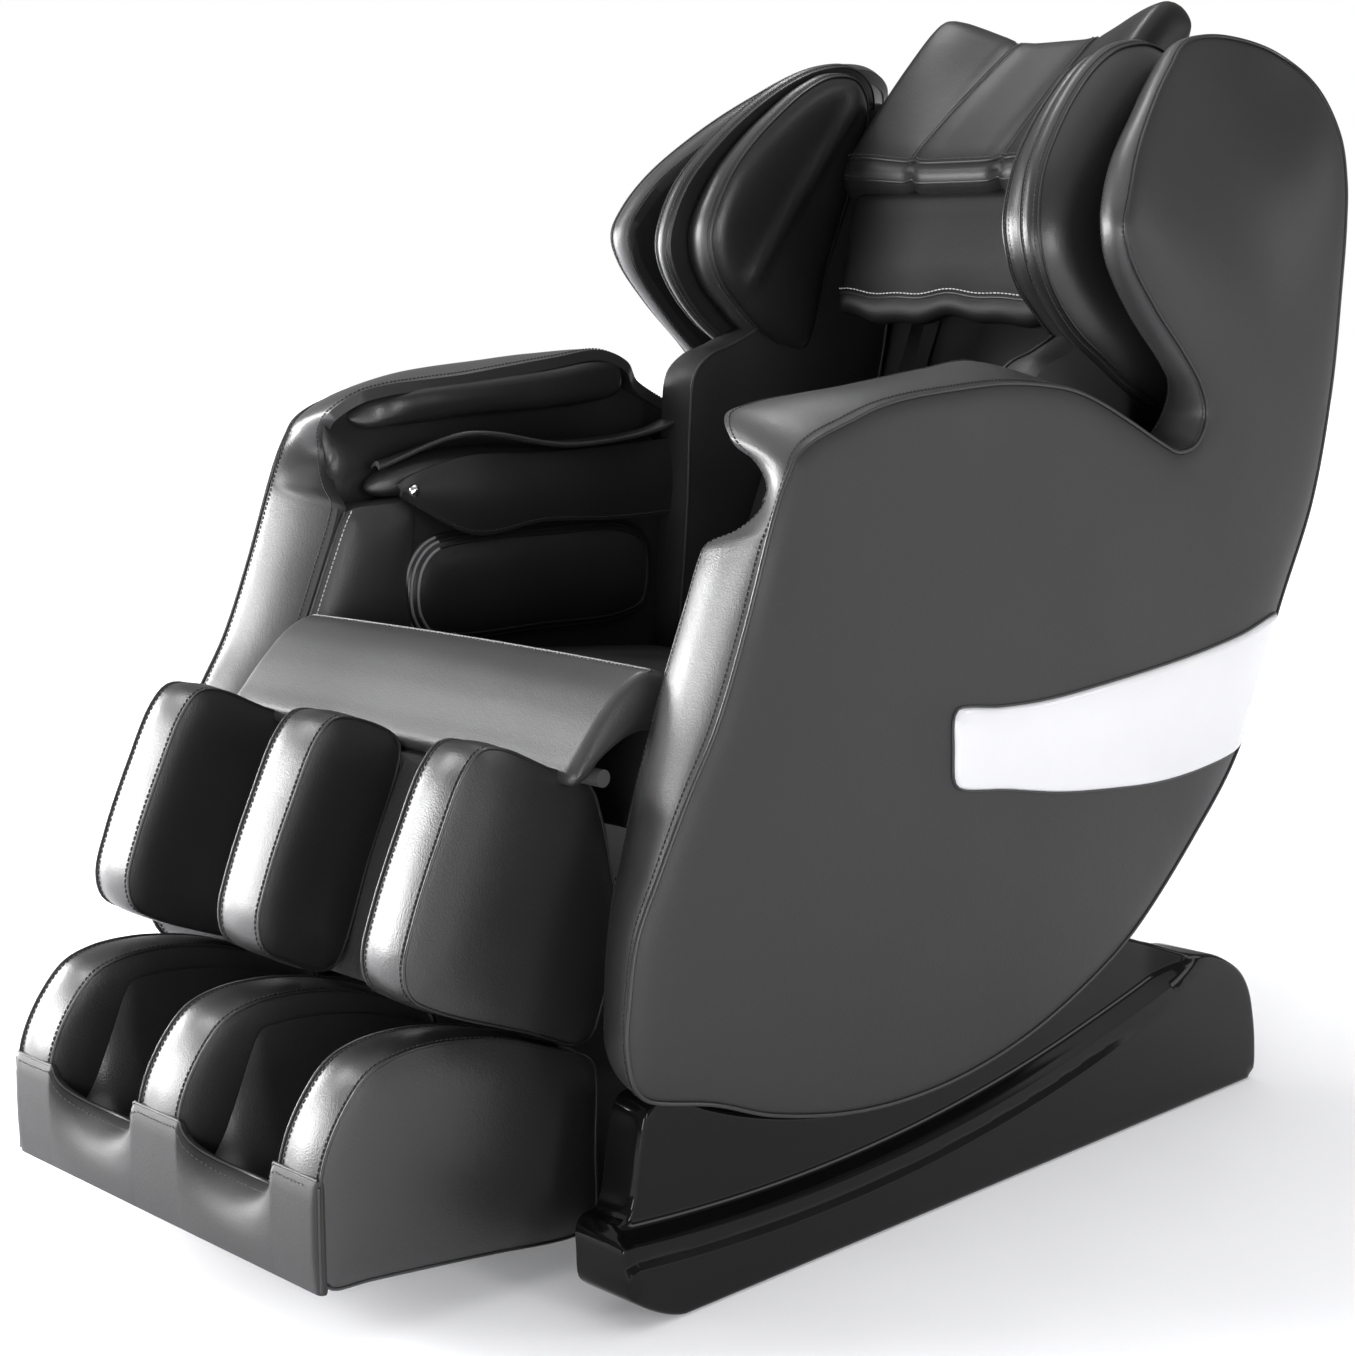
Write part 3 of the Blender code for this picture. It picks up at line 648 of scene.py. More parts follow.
ROCK = (-0.045, 0.807, 0.688)  # the tilt centre's y, z and the shell's radius about it
for degrees in (-60, -68, -77, -87, -97, -107, -114):
    reach = np.array([math.cos(math.radians(degrees)), math.sin(math.radians(degrees))])
    outer = np.array(ROCK[:2]) + reach * ROCK[2]
    SHELL.append((*outer, 0.369, *(outer - reach * 0.006), 0.305, 0.002))
SHELL_INSIDE = 0.306  # x of a shell's inner face, away from the wing
rim = smooth_line(SHELL, 0.0055, closed=True)
rim[:, 2] -= 0.005  # room for the swelling beside the seam
SEAM_FLAT, SEAM_X = rim[:, :2], rim[:, 2]
in_wing = smoothstep(0.25, 0.34, rim[:, 0]) * smoothstep(0.68, 0.76, rim[:, 1])
LINING_X = np.maximum(SHELL_INSIDE * (1 - in_wing) + rim[:, 5] * in_wing, rim[:, 5] + 0.0005)
shell_face = Face(SEAM_FLAT, 0.0125)


def shell_x(points, soft):
    """Outer height of a side shell: the seam's own x carried inwards, then swelling by 17 mm."""
    edge = carried(points, SEAM_FLAT, SEAM_X)
    return edge + puffed(soft, 0.0040, 0.010) + puffed(soft, 0.0130, 0.048)


outer_x = shell_x(shell_face.points, shell_face.soft)
inner_x = carried(shell_face.points, SEAM_FLAT, LINING_X)
outer_x[:len(SEAM_FLAT)] = SEAM_X
inner_x[:len(SEAM_FLAT)] = LINING_X
# the inner edge is drawn in, so that the shell's rim stays under the band that covers it
share = np.clip((SEAM_X - LINING_X) / (SEAM_X - rim[:, 5]), 0, 1)[:, None]
drawn_in = (rim[:, 3:5] - SEAM_FLAT) * share + inward(SEAM_FLAT) * 0.003
verts, faces = shell_face.solid(outer_x, inner_x)
total = len(shell_face.points)
fade = np.exp(-shell_face.true / 0.05)[:, None]
verts[total:2 * total, 1:] += carried(shell_face.points, SEAM_FLAT, drawn_in) * fade
pair("shell_padding", (verts, faces), PANEL, "cradle", ["side_panel_*"], fill=0.9, crease=60, behind=LEATHER)

out_flat = -inward(SEAM_FLAT)
across = np.linspace(0, 1, 13)[None, :, None]
seam_3d = np.column_stack([SEAM_X, SEAM_FLAT])
edge_3d = np.column_stack([rim[:, 5], rim[:, 3:5]])
out_3d = np.column_stack([np.zeros(len(rim)), out_flat])
swell = np.sin(math.pi * across) ** 0.75 * rim[:, None, 6:7]
band_top = seam_3d[:, None] * (1 - across) + edge_3d[:, None] * across + out_3d[:, None] * (swell + 0.0006)
band_back = band_top[:, ::-1] - out_3d[:, None] * (0.012 + swell[:, ::-1])
band_ring = np.concatenate([band_top, band_back], 1)
pair("shell_band", loft(band_ring, closed=True), PAINTED_SHEEN_LEATHER, "cradle", fill=0.9, crease=50)

UP_X = (1.0, 0.0, 0.0)
pair("shell_piping", tube(seam_3d + out_3d * 0.0012 + (0.0006, 0, 0), 0.0021, UP_X, True), SEAM, "cradle")
on_band = seam_3d * 0.93 + edge_3d * 0.07 + out_3d * (0.93 * 0.07 * 3 * rim[:, 6:7] + 0.0022)
on_edge = seam_3d * 0.06 + edge_3d * 0.94 + out_3d * (0.20 * rim[:, 6:7] + 0.0016)
pair("shell_stitching", together(stitches(on_band, out_3d[:1] * 0 + (0.3, -1, 0.2), closed=True),
                                 stitches(on_edge, (0.3, -1, 0.2), closed=True)),
     THREAD, "cradle")

# the silver inlay lies on the shell and follows it
TRIM = mm([
    (-16, 487), (50, 482), (123, 480), (240, 486), (363, 496), (460, 508), (545, 522), (552, 516), (520, 450),
    (484, 390), (476, 384), (400, 374), (315, 371), (225, 377), (143, 386), (60, 401), (-12, 413), (-19, 420),
    (-21, 452), (-21, 480)])
trim_face = face_of(TRIM, 0.006, 0.012, rings=(0.0012, 0.003, 0.006))
under_trim = shell_x(trim_face.points, soft_distance(trim_face.points, SEAM_FLAT,
                                                     edge_distance(trim_face.points, SEAM_FLAT)))
trim_top = under_trim + 0.0052 - rolled(trim_face.true, 0.004) * 0.9 + puffed(trim_face.soft, 0.002, 0.03)
pair("trim_plate", trim_face.solid(trim_top, under_trim - 0.003), SILVER, "cradle", ["side_trim_*"])

trim_edge = under_trim[:len(trim_face.loop)] + 0.0006
trim_rim = np.column_stack([trim_edge, trim_face.loop - inward(trim_face.loop) * 0.0006])
pair("trim_plate_rim", tube(trim_rim, 0.0016, UP_X, True), PLASTIC, "cradle")

# ---------------------------------------------------------------- shapes shared by the padded pieces
def roll(rows, order, count=44, sides=28, power=2.6, end=0.02):
    """Superellipse sections along a line; the ends close in as a quarter circle over a length end.

    rows are (along, low a, high a, low b, high b); order gives the world axes of along, a and b.
    """
    rows = np.asarray(rows, float)
    fine = smooth_line(rows, (rows[-1, 0] - rows[0, 0]) / 200)
    t = 0.5 - 0.5 * np.cos(np.linspace(0.02, math.pi - 0.02, count))
    at = rows[0, 0] + (rows[-1, 0] - rows[0, 0]) * t
    low_a, high_a, low_b, high_b = (np.interp(at, fine[:, 0], fine[:, i]) for i in (1, 2, 3, 4))
    near = np.clip(np.minimum(at - rows[0, 0], rows[-1, 0] - at) / end, 0, 1)
    shrink = np.sqrt(1 - (1 - near) ** 2)[:, None]
    angle = np.linspace(0, 2 * math.pi, sides, endpoint=False)
    ca = np.sign(np.cos(angle)) * np.abs(np.cos(angle)) ** (2 / power)
    sa = np.sign(np.sin(angle)) * np.abs(np.sin(angle)) ** (2 / power)
    rings = np.empty((count, sides, 3))
    rings[..., order[0]] = at[:, None]
    rings[..., order[1]] = ((low_a + high_a) / 2)[:, None] + ((high_a - low_a) / 2)[:, None] * shrink * ca
    rings[..., order[2]] = ((low_b + high_b) / 2)[:, None] + ((high_b - low_b) / 2)[:, None] * shrink * sa
    return loft(rings)


def flap(first, second, normal, thick, bulge, count=12):
    """A sheet between two lines: straight across, swelling along normal by bulge sin(pi t)."""
    both = smooth_line(np.hstack([first, second]), 0.0084)
    a, b = both[:, None, :3], both[:, None, 3:]
    t = np.linspace(0, 1, count)[None, :, None]
    middle = a * (1 - t) + b * t + np.asarray(normal) * bulge * np.sin(math.pi * t)
    half = np.asarray(normal) * thick / 2
    return loft(np.concatenate([middle + half, (middle - half)[:, ::-1]], 1)), both


def at_x(height, loop):
    """A flat (y, z) loop lifted to a height along x."""
    return np.column_stack([np.broadcast_to(height, len(loop)), loop])


def seam_on(name, line, closed, up, body, radius=0.0016, offset=None, pale=False, both=True):
    """A piped seam with a row of stitches beside it (offset is the vector from the piping to the row)."""
    forms = [(f"{name}_piping", tube(line, radius, up, closed), SEAM)]
    if offset is not None:
        forms.append((f"{name}_stitching", stitches(line + offset, up, closed=closed),
                      PALE_THREAD if pale else THREAD))
    for label, form, surface in forms:
        if both:
            pair(label, form, surface, body)
        else:
            put(label, form, surface, body)


# ---------------------------------------------------------------- arms
ARM = mm([
    (-350, 206), (-357, 218), (-357, 250), (-354, 302), (-347, 345), (-337, 384), (-317, 452), (-297, 504),
    (-266, 578), (-245, 626), (-230, 640), (-170, 650), (-50, 658), (100, 657), (215, 652), (243, 630),
    (246, 550), (246, 300), (236, 212), (160, 168), (0, 137), (-200, 152), (-330, 198)])
arm_face = face_of(ARM, 0.008, 0.016)
pair("arm_inner", arm_face.solid(0.262 + rolled(arm_face.true, 0.006) - puffed(arm_face.soft, 0.004, 0.03),
                                 0.3055), LEATHER, "cradle", ["arm_body_*"], fill=0.8)

FRONT_PAD = mm([
    (-241, 630), (-260, 588), (-291, 515), (-294, 502), (-270, 497), (-200, 497), (-146, 500), (-138, 520),
    (-146, 570), (-140, 630), (-150, 644), (-190, 647), (-230, 643)])
front_pad = face_of(FRONT_PAD, 0.005, 0.008)
pair("arm_front_pad", front_pad.solid(0.262 - puffed(front_pad.soft, 0.0165, 0.022), 0.2635), PAINTED_SHEEN_LEATHER,
     "cradle", fill=0.8)
edge_line = smooth_line([(0.2625, y, z) for y, z in ((-0.234, 0.642), (-0.241, 0.630), (-0.260, 0.588),
                                                    (-0.291, 0.515), (-0.298, 0.497))], 0.004)
seam_on("arm_front", edge_line, False, UP_X, "cradle", radius=0.0014, offset=(-0.004, 0.005, 0.0), pale=True)

pair("arm_top_roll", roll([(-0.196, 0.292, 0.318, 0.726, 0.752), (-0.172, 0.268, 0.326, 0.726, 0.764),
                           (-0.140, 0.257, 0.330, 0.728, 0.771), (-0.050, 0.255, 0.330, 0.734, 0.778),
                           (0.050, 0.255, 0.330, 0.737, 0.787), (0.130, 0.256, 0.330, 0.742, 0.796),
                           (0.176, 0.262, 0.325, 0.750, 0.788)], (1, 0, 2), power=3.0),
     LEATHER, "cradle", ["arm_top_pad_*"], fill=0.9)
pair("arm_lower_roll", roll([(-0.182, 0.288, 0.306, 0.652, 0.672), (-0.120, 0.256, 0.306, 0.652, 0.698),
                             (0.100, 0.254, 0.306, 0.654, 0.700), (0.225, 0.256, 0.306, 0.656, 0.704)],
                            (1, 0, 2)), LEATHER, "cradle", ["arm_lower_pad_*"], fill=0.8)

tongue, tongue_lines = flap(
    [(0.297, -0.172, 0.684), (0.290, -0.090, 0.696), (0.290, 0.070, 0.694), (0.290, 0.190, 0.699),
     (0.290, 0.235, 0.710)],
    [(0.280, -0.174, 0.684), (0.238, -0.094, 0.717), (0.234, 0.060, 0.699), (0.238, 0.195, 0.709),
     (0.243, 0.252, 0.724)], (-0.35, 0.0, 0.94), 0.005, 0.005)
pair("hand_tongue", tongue, LEATHER, "cradle", fill=0.5)
pair("hand_tongue_edge", tube(tongue_lines[:, 3:] + (0.0, 0, 0.001), 0.0024, (0, 0, 1)), PAINTED_SHEEN_LEATHER, "cradle")
drape_top = [(0.262, -0.166, 0.668), (0.256, -0.140, 0.680), (0.249, -0.077, 0.694), (0.249, 0.024, 0.692),
             (0.249, 0.130, 0.694), (0.249, 0.250, 0.700)]
drape_low = [(0.258, -0.164, 0.655), (0.250, -0.136, 0.636), (0.240, -0.077, 0.609), (0.239, 0.024, 0.616),
             (0.241, 0.130, 0.611), (0.243, 0.258, 0.612)]
for side, sign in (("left", 1.0), ("right", -1.0)):
    hanging, drape_lines = flap(np.array(drape_top), np.array(drape_low), (-0.98, 0.0, 0.12), 0.0026, 0.006,
                                count=16)
    hanging = (hanging[0] * (sign, 1.0, 1.0), hanging[1])
    piece = put(f"hand_drape_{side}", hanging, LEATHER, "cradle")
pair("hand_drape_hem", stitches(drape_lines[:, 3:] + (-0.0018, 0, 0.004), UP_X), THREAD, "cradle")
pair("drape_rivet", roll([(0.2440, -0.158, -0.146, 0.653, 0.668), (0.2590, -0.158, -0.146, 0.653, 0.668)],
                         (0, 1, 2), count=14, power=2.0, end=0.0055), CHROME, "cradle")

HIP = mm([
    (-164, 550), (-156, 583), (-132, 606), (-80, 614), (40, 614), (150, 610), (192, 590), (202, 550),
    (190, 505), (150, 490), (20, 489), (-90, 489), (-138, 496), (-159, 520)])
hip_face = face_of(HIP, 0.005, 0.009)
hip_x = 0.259 - puffed(hip_face.soft, 0.023, 0.018)
pair("hip_cushion", hip_face.solid(hip_x, 0.2647), LEATHER, "cradle", ["hip_pad_*"], fill=0.9)
for label, depth in (("outer", 0.002), ("middle", 0.0065), ("inner", 0.0125)):
    line = hip_face.loop + inward(hip_face.loop) * depth
    height = 0.259 - puffed(edge_distance(line, hip_face.loop), 0.023, 0.018) - 0.0008
    line = at_x(height, line)
    turn = int(np.argmax(line[:, 1] > -0.118))
    front_rim = np.vstack([line[turn + len(line) // 2:], line[:turn]])
    front_rim = front_rim[front_rim[:, 1] < -0.100]
    pair(f"hip_{label}_piping", tube(line, 0.0015, UP_X, True), SEAM, "cradle")
    # the pale tube along the front of the rim is a painted highlight on the piping
    pair(f"hip_{label}_highlight_edging", tube(front_rim - (0.0008, 0, 0), 0.0017, UP_X), HIGHLIGHT_PIPING, "cradle")

# ---------------------------------------------------------------- shoulder pads
def pad_lean(z):
    """How far a shoulder pad leans inwards at a height."""
    return 0.052 * np.clip((z - 0.9) / 0.23, 0, 2) ** 1.5


PAD_OUTER = mm([
    (450, 752), (395, 775), (353, 799), (303, 828), (266, 860), (242, 893), (233, 922), (236, 951),
    (252, 990), (286, 1030), (332, 1070), (385, 1104), (437, 1124), (495, 1128), (535, 1105), (552, 1050),
    (548, 950), (520, 850), (490, 785), (472, 757)])
PAD_INNER = mm([
    (401, 796), (342, 824), (308, 850), (279, 877), (262, 910), (259, 943), (281, 996), (314, 1036),
    (354, 1071), (394, 1099), (435, 1115), (480, 1112), (505, 1080), (500, 1030), (480, 960), (455, 890),
    (435, 820), (420, 798)])
outer_pad = face_of(PAD_OUTER, 0.006, 0.010)
lean = pad_lean(outer_pad.points[:, 1])
pair("shoulder_outer", outer_pad.solid(0.276 - lean + puffed(outer_pad.soft, 0.027, 0.030), 0.253 - lean,
                                       rows=7, bulge=0.0065), LEATHER, "cradle",
     ["shoulder_pad_outer_*"], fill=0.9, crease=60)
inner_pad = face_of(PAD_INNER, 0.006, 0.010)
lean = pad_lean(inner_pad.points[:, 1])
fold = inner_pad.points @ np.array([0.80, -0.60]) - (0.375 * 0.80 - 0.96 * 0.60)
ridge = 0.007 * np.exp(-(fold / 0.010) ** 2) * smoothstep(0.01, 0.04, inner_pad.true)
pair("shoulder_inner", inner_pad.solid(0.212 - 0.6 * lean - puffed(inner_pad.soft, 0.012, 0.012) - ridge,
                                       0.252 - lean, rows=7, bulge=0.006), LEATHER, "cradle",
     ["shoulder_pad_inner_*"], fill=0.9, crease=60)
# name, pad, x of the seam where the pad is upright, its share of the lean, side of the stitches
PAD_SEAMS = [("outer_rim", outer_pad, 0.2765, 1.0, -1), ("outer_back", outer_pad, 0.2535, 1.0, 1),
             ("inner_rim", inner_pad, 0.2115, 0.6, 1)]
for label, pad, base_x, leaning_part, toward in PAD_SEAMS:
    loop = pad.loop - inward(pad.loop) * 0.001
    line = at_x(base_x - leaning_part * pad_lean(pad.loop[:, 1]), loop)
    seam_on(f"shoulder_{label}", line, True, UP_X, "cradle", radius=0.0016,
            offset=np.column_stack([np.full(len(loop), 0.0045 * toward), -inward(pad.loop) * 0.0034]))

# ---------------------------------------------------------------- back bolsters and lining
BACK_SIDE = mm([
    (214, 480), (220, 560), (226, 640), (229, 720), (236, 772), (262, 794), (300, 806), (350, 828),
    (400, 868), (446, 920), (486, 985), (518, 1060), (545, 1090), (580, 1080), (592, 1020), (585, 900),
    (560, 760), (500, 600), (430, 430), (400, 403), (300, 400), (225, 440)])
bolster = face_of(BACK_SIDE, 0.007, 0.014)
pair("back_side_panel", bolster.solid(0.216 - puffed(bolster.soft, 0.008, 0.03), 0.2635, rows=5, bulge=0.004),
     PANEL, "cradle", ["back_bolster_*"], fill=0.8, crease=60)
line = at_x(0.2155, bolster.loop - inward(bolster.loop) * 0.001)
pair("back_side_piping", tube(line, 0.0018, UP_X, True), PAINTED_SHEEN_LEATHER, "cradle")

LINING = mm([
    (-190, 30), (-150, 22), (150, 22), (190, 30), (196, 60), (196, 255), (190, 287), (150, 295), (-150, 295),
    (-190, 287), (-196, 255), (-196, 60)])
lining = face_of(LINING, 0.010, 0.016)
channels = 0.004 * np.cos(lining.points[:, 0] * 2 * math.pi / 0.130) * smoothstep(0, 0.03, lining.true)
verts, faces = lining.solid(0.001 - puffed(lining.soft, 0.012, 0.03) + channels, 0.0105, order=(1, 0, 2))
verts[:, 1:] = on_back(verts[:, 1:])
put("back_lining_quilt", (verts, faces), FABRIC, "cradle", ["back_lining"], fill=0.7)

REAR = mm([
    (365, 285), (403, 312), (475, 387), (548, 534), (612, 698), (640, 790), (652, 860), (653, 950),
    (640, 1020), (606, 1064), (560, 1084)])
rear_line = smooth_line(REAR, 0.012)
rear_run = direction(rear_line)
rear_out = np.column_stack([np.zeros(len(rear_line)), rear_run[:, 1], -rear_run[:, 0]])
REAR_HALF = 0.3045
COLUMNS = 49
rear_x = np.linspace(-REAR_HALF, REAR_HALF, COLUMNS)
narrow = 1 - 0.24 * smoothstep(0.98, 1.09, rear_line[:, 1])
rear_lift = 0.010 * (1 - (rear_x / REAR_HALF) ** 4)
rear_skin = np.stack([np.outer(narrow, rear_x), np.repeat(rear_line[:, :1], COLUMNS, 1),
                      np.repeat(rear_line[:, 1:], COLUMNS, 1)], 2)
rear_front = rear_skin + rear_out[:, None] * rear_lift[None, :, None]
rear_behind = (rear_skin - rear_out[:, None] * 0.009)[:, ::-1]
put("rear_cover_skin", loft(np.concatenate([rear_front, rear_behind], 1)), FABRIC, "cradle",
    ["rear_cover"], fill=0.5)
for label, place in (("left", 6), ("right", 42)):
    put(f"rear_seam_{label}", tube(rear_front[1:-1, place], 0.0018, (0, 1, 0)), SEAM, "cradle")

# ---------------------------------------------------------------- head pillow and neck cushion
FLAT_SECTION = mm([
    (434, 984), (430, 1000), (440, 1016), (470, 1042), (530, 1089), (590, 1133), (616, 1152), (632, 1158),
    (643, 1150), (640, 1133), (560, 1050), (474, 966), (448, 966)])
RAISED_SECTION = mm([
    (436, 990), (434, 1010), (450, 1036), (488, 1080), (540, 1134), (588, 1178), (610, 1191), (634, 1190),
    (650, 1174), (650, 1150), (560, 1052), (474, 966), (448, 970)])


AROUND = 96  # points round each section


def evenly_cut(outline):
    """A closed outline, smoothed and cut again into AROUND points."""
    line = smooth_line(outline, 0.004, closed=True)
    places = np.linspace(0, 1, AROUND, endpoint=False)
    known = np.linspace(0, 1, len(line) + 1)
    return np.stack([np.interp(places, known, np.append(line[:, i], line[0, i])) for i in (0, 1)], 1)


def sections_across(x, first, second, blend, half, end, along):
    """Closed sections, a mix of two by blend, that thin out over the last end metres to each side."""
    a = evenly_cut(first)
    b = evenly_cut(second)
    ring = a[None] * (1 - blend[:, None, None]) + b[None] * blend[:, None, None]
    near = np.clip((half - np.abs(x)) / end, 0, 1)
    thin = np.sqrt(1 - (1 - near) ** 2)[:, None, None]
    along = np.asarray(along) / np.linalg.norm(along)
    middle = ring.mean(1, keepdims=True)
    rel = ring - middle
    lengthwise = (rel @ along)[..., None] * along
    rel = lengthwise * (1 - 0.16 * (1 - thin)) + (rel - lengthwise) * thin
    return np.concatenate([np.broadcast_to(x[:, None, None], (*ring.shape[:2], 1)), middle + rel], 2)


PILLOW_HALF = 0.176
pillow_x = PILLOW_HALF * np.sin(np.linspace(-math.pi / 2 * 0.985, math.pi / 2 * 0.985, 61))


def pillow_rings(x):
    """Pillow sections: low in the middle, raised to the sides, nipped in at the two seams."""
    rings = sections_across(x, FLAT_SECTION, RAISED_SECTION, smoothstep(0.030, 0.165, np.abs(x)),
                            PILLOW_HALF, 0.024, (0.76, 0.65))
    nip = 0.0035 * np.exp(-((np.abs(x) - 0.062) / 0.006) ** 2)[:, None, None]
    middle = rings.mean(1, keepdims=True)
    return middle + (rings - middle) * (1 - nip * 14 * np.array([0, 1, 1]))


put("pillow", loft(pillow_rings(pillow_x)), PAINTED_DARK_CUSHION_LEATHER, "headrest", ["head_pillow"], fill=0.8)
seam_x = np.interp(np.arange(AROUND), [0, 40], [0.068, 0.055])
for label, sign in (("left", 1), ("right", -1)):
    rings = pillow_rings(sign * seam_x)
    line = rings[np.arange(AROUND), np.arange(AROUND)][4:44]
    put(f"pillow_seam_{label}", tube(line, 0.0013, (1, 0, 0.001)), SEAM, "headrest")
    put(f"pillow_stitching_{label}", together(stitches(line + (0.0032, -0.0006, 0.0008), (1, 0, 0.001)),
                                              stitches(line + (-0.0032, -0.0006, 0.0008), (1, 0, 0.001))),
        THREAD, "headrest")
hem_x = np.linspace(-0.168, 0.168, 90)
for label, place, lift in (("hem", 5, 0.0005), ("under", 1, 0.0004)):
    line = pillow_rings(hem_x)[:, place] + (0, -lift, 0)
    put(f"pillow_{label}_piping", tube(line, 0.0014, (0, 0, 1)), SEAM, "headrest")
    put(f"pillow_{label}_stitching", stitches(line + (0, 0.0, 0.0045), (0, -1, 0)), THREAD, "headrest")

NECK = mm([
    (412, 836), (406, 850), (412, 880), (420, 920), (428, 955), (434, 975), (446, 982), (458, 970),
    (455, 930), (448, 880), (440, 845), (426, 834)])
NECK_HALF = 0.155
neck_x = NECK_HALF * np.sin(np.linspace(-math.pi / 2 * 0.985, math.pi / 2 * 0.985, 49))


def neck_rings(x):
    """Neck cushion sections; the lower edge waves a little."""
    rings = sections_across(x, NECK, NECK, np.zeros(len(x)), NECK_HALF, 0.016, (0.2, 0.98))
    wave = 0.0045 * np.sin(x * 38 + 0.6) + 0.0025 * np.sin(x * 83)
    low = smoothstep(0.0, 1.0, (0.90 - rings[..., 2]) / 0.07)
    rings[..., 2] += wave[:, None] * low
    rings[..., 1] -= 0.006 * low * (1 - (x[:, None] / NECK_HALF) ** 2)
    return rings


put("neck_roll", loft(neck_rings(neck_x)), NECK_PAINTED_SHADE_LEATHER, "headrest", ["neck_cushion"], fill=0.7)
neck_line = neck_rings(np.linspace(-0.147, 0.147, 70))
put("neck_hem_piping", tube(neck_line[:, 8] + (0, -0.0004, 0), 0.0013, (0, 0, 1)), SEAM, "headrest")
put("neck_hem_stitching", stitches(neck_line[:, 8] + (0, -0.0008, 0.005), (0, -1, 0)), PALE_THREAD,
    "headrest")

# ---------------------------------------------------------------- seat
SEAT = mm([
    (-245, -252), (-200, -256), (200, -256), (245, -252), (259, -235), (260, 180), (250, 207), (200, 212),
    (-200, 212), (-250, 207), (-260, 180), (-259, -235)])
seat = face_of(SEAT, 0.010, 0.016)
# the seat falls towards the back by 85 mm in a metre
seat_top = (0.492 - 0.085 * (seat.points[:, 1] + 0.235) - rolled(seat.true, 0.012)
            + puffed(seat.soft, 0.012, 0.05))
put("seat_pad", seat.solid(seat_top, 0.397, order=(2, 0, 1)), LEATHER, "cradle", ["seat_cushion"], fill=0.8)

FLAP = mm([
    (-260, 500), (-262, 522), (-272, 537), (-293, 541), (-320, 531), (-348, 508), (-372, 482), (-388, 462),
    (-388, 452), (-376, 450), (-350, 470), (-310, 486), (-275, 488)])
FLAP_HALF = 0.258
flap_x = FLAP_HALF * np.sin(np.linspace(-math.pi / 2 * 0.985, math.pi / 2 * 0.985, 61))
flap_rings = sections_across(flap_x, FLAP, FLAP, np.zeros(61), FLAP_HALF, 0.012, (0.85, 0.53))
flap_rings[..., 2] += 0.003 * (1 - (flap_x[:, None] / FLAP_HALF) ** 2)
seat_flap = put("seat_flap", loft(flap_rings), PAINTED_SHEEN_LEATHER, "cradle", ["seat_front_flap"], fill=0.7)
flap_seams = sections_across(np.linspace(-0.250, 0.250, 120), FLAP, FLAP, np.zeros(120), FLAP_HALF, 0.012,
                             (0.85, 0.53))
flap_seams[..., 2] += 0.003 * (1 - (flap_seams[..., 0] / FLAP_HALF) ** 2)
crest = int(np.argmax(flap_seams[60, :, 2]))
flap_piping = put("seat_flap_piping", tube(flap_seams[:, crest] + (0, 0, 0.0002), 0.0012, (0, 0, 1)), SEAM,
                  "cradle")
flap_rows = [stitches(flap_seams[:, crest + place] + (0, 0, 0.0002), (0, 0, 1)) for place in (-1, 1)]
flap_thread = put("seat_flap_stitching", together(*flap_rows), THREAD, "cradle")
for piece in (seat_flap, flap_piping, flap_thread):
    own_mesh(piece)

# ---------------------------------------------------------------- calf rest
CALF = on_leg(mm([
    (-45, -6), (-100, -4), (-121, -11), (-132, -34), (-137.5, -95), (-139, -160), (-134.5, -203),
    (-120, -223), (-90, -229), (20, -228), (86, -227), (98, -218), (100, -180), (97, -122), (70, -80),
    (34, -30), (10, -8)]))
CALF_MIDDLE = on_leg(mm([
    (-50, -6), (-100, -4), (-121, -11), (-132, -34), (-137.5, -95), (-139, -160), (-134.5, -203),
    (-120, -223), (-90, -228), (-50, -229), (-38, -220), (-36, -120), (-38, -16)]))


def wall_of(name, outline, inside, outside, body, replaced, soft=0.008, bulge=0.0036, both=True):
    """A padded wall: two swelling faces with a band between them, piped and stitched along both edges."""
    loop = smooth_line(outline, 0.0065, closed=True)
    face = Face(loop, 0.012)
    swell = puffed(face.soft, soft, 0.028)
    form = face.solid(outside - soft * 0.8 + swell, inside + soft * 0.8 - swell, rows=11, bulge=bulge)
    builder = pair if both else put
    builder(name, form, LEATHER, body, replaced, fill=0.9, crease=75)
    out = -inward(loop)
    for label, at, turn in (("outer", outside - soft * 0.8, -1), ("inner", inside + soft * 0.8, 1)):
        line = at_x(at, loop + out * 0.0006)
        offset = np.column_stack([np.full(len(loop), 0.0048 * turn), out * bulge * 0.24])
        seam_on(f"{name}_{label}", line, True, UP_X, body, radius=0.0015, offset=offset, both=both)


wall_of("calf_side", CALF, 0.174, 0.243, "legrest", ["calf_wall_*"])
wall_of("calf_middle", CALF_MIDDLE, -0.037, 0.037, "legrest", ["calf_wall_center"], both=False)
REST = mm([
    (48, -30), (80, -20), (135, -20), (163, -30), (171, -60), (171, -190), (163, -215), (135, -223),
    (80, -223), (48, -215), (40, -190), (40, -60)])
rest = face_of(REST, 0.008, 0.012)
verts, faces = rest.solid(-0.024 - puffed(rest.soft, 0.016, 0.025), 0.029, order=(1, 0, 2))
verts[:, 1:] = on_leg(verts[:, 1:])
pair("calf_channel_pad", (verts, faces), LEATHER, "legrest", fill=0.8)
BOARD = on_leg(mm([
    (-20, -12), (10, -12), (19, -24), (20, -222), (-18, -224)]))
board = face_of(BOARD, 0.008, 0.016)
put("calf_board", board.solid(0.1722, -0.1722), FABRIC, "legrest", ["calf_back"], fill=0.5)

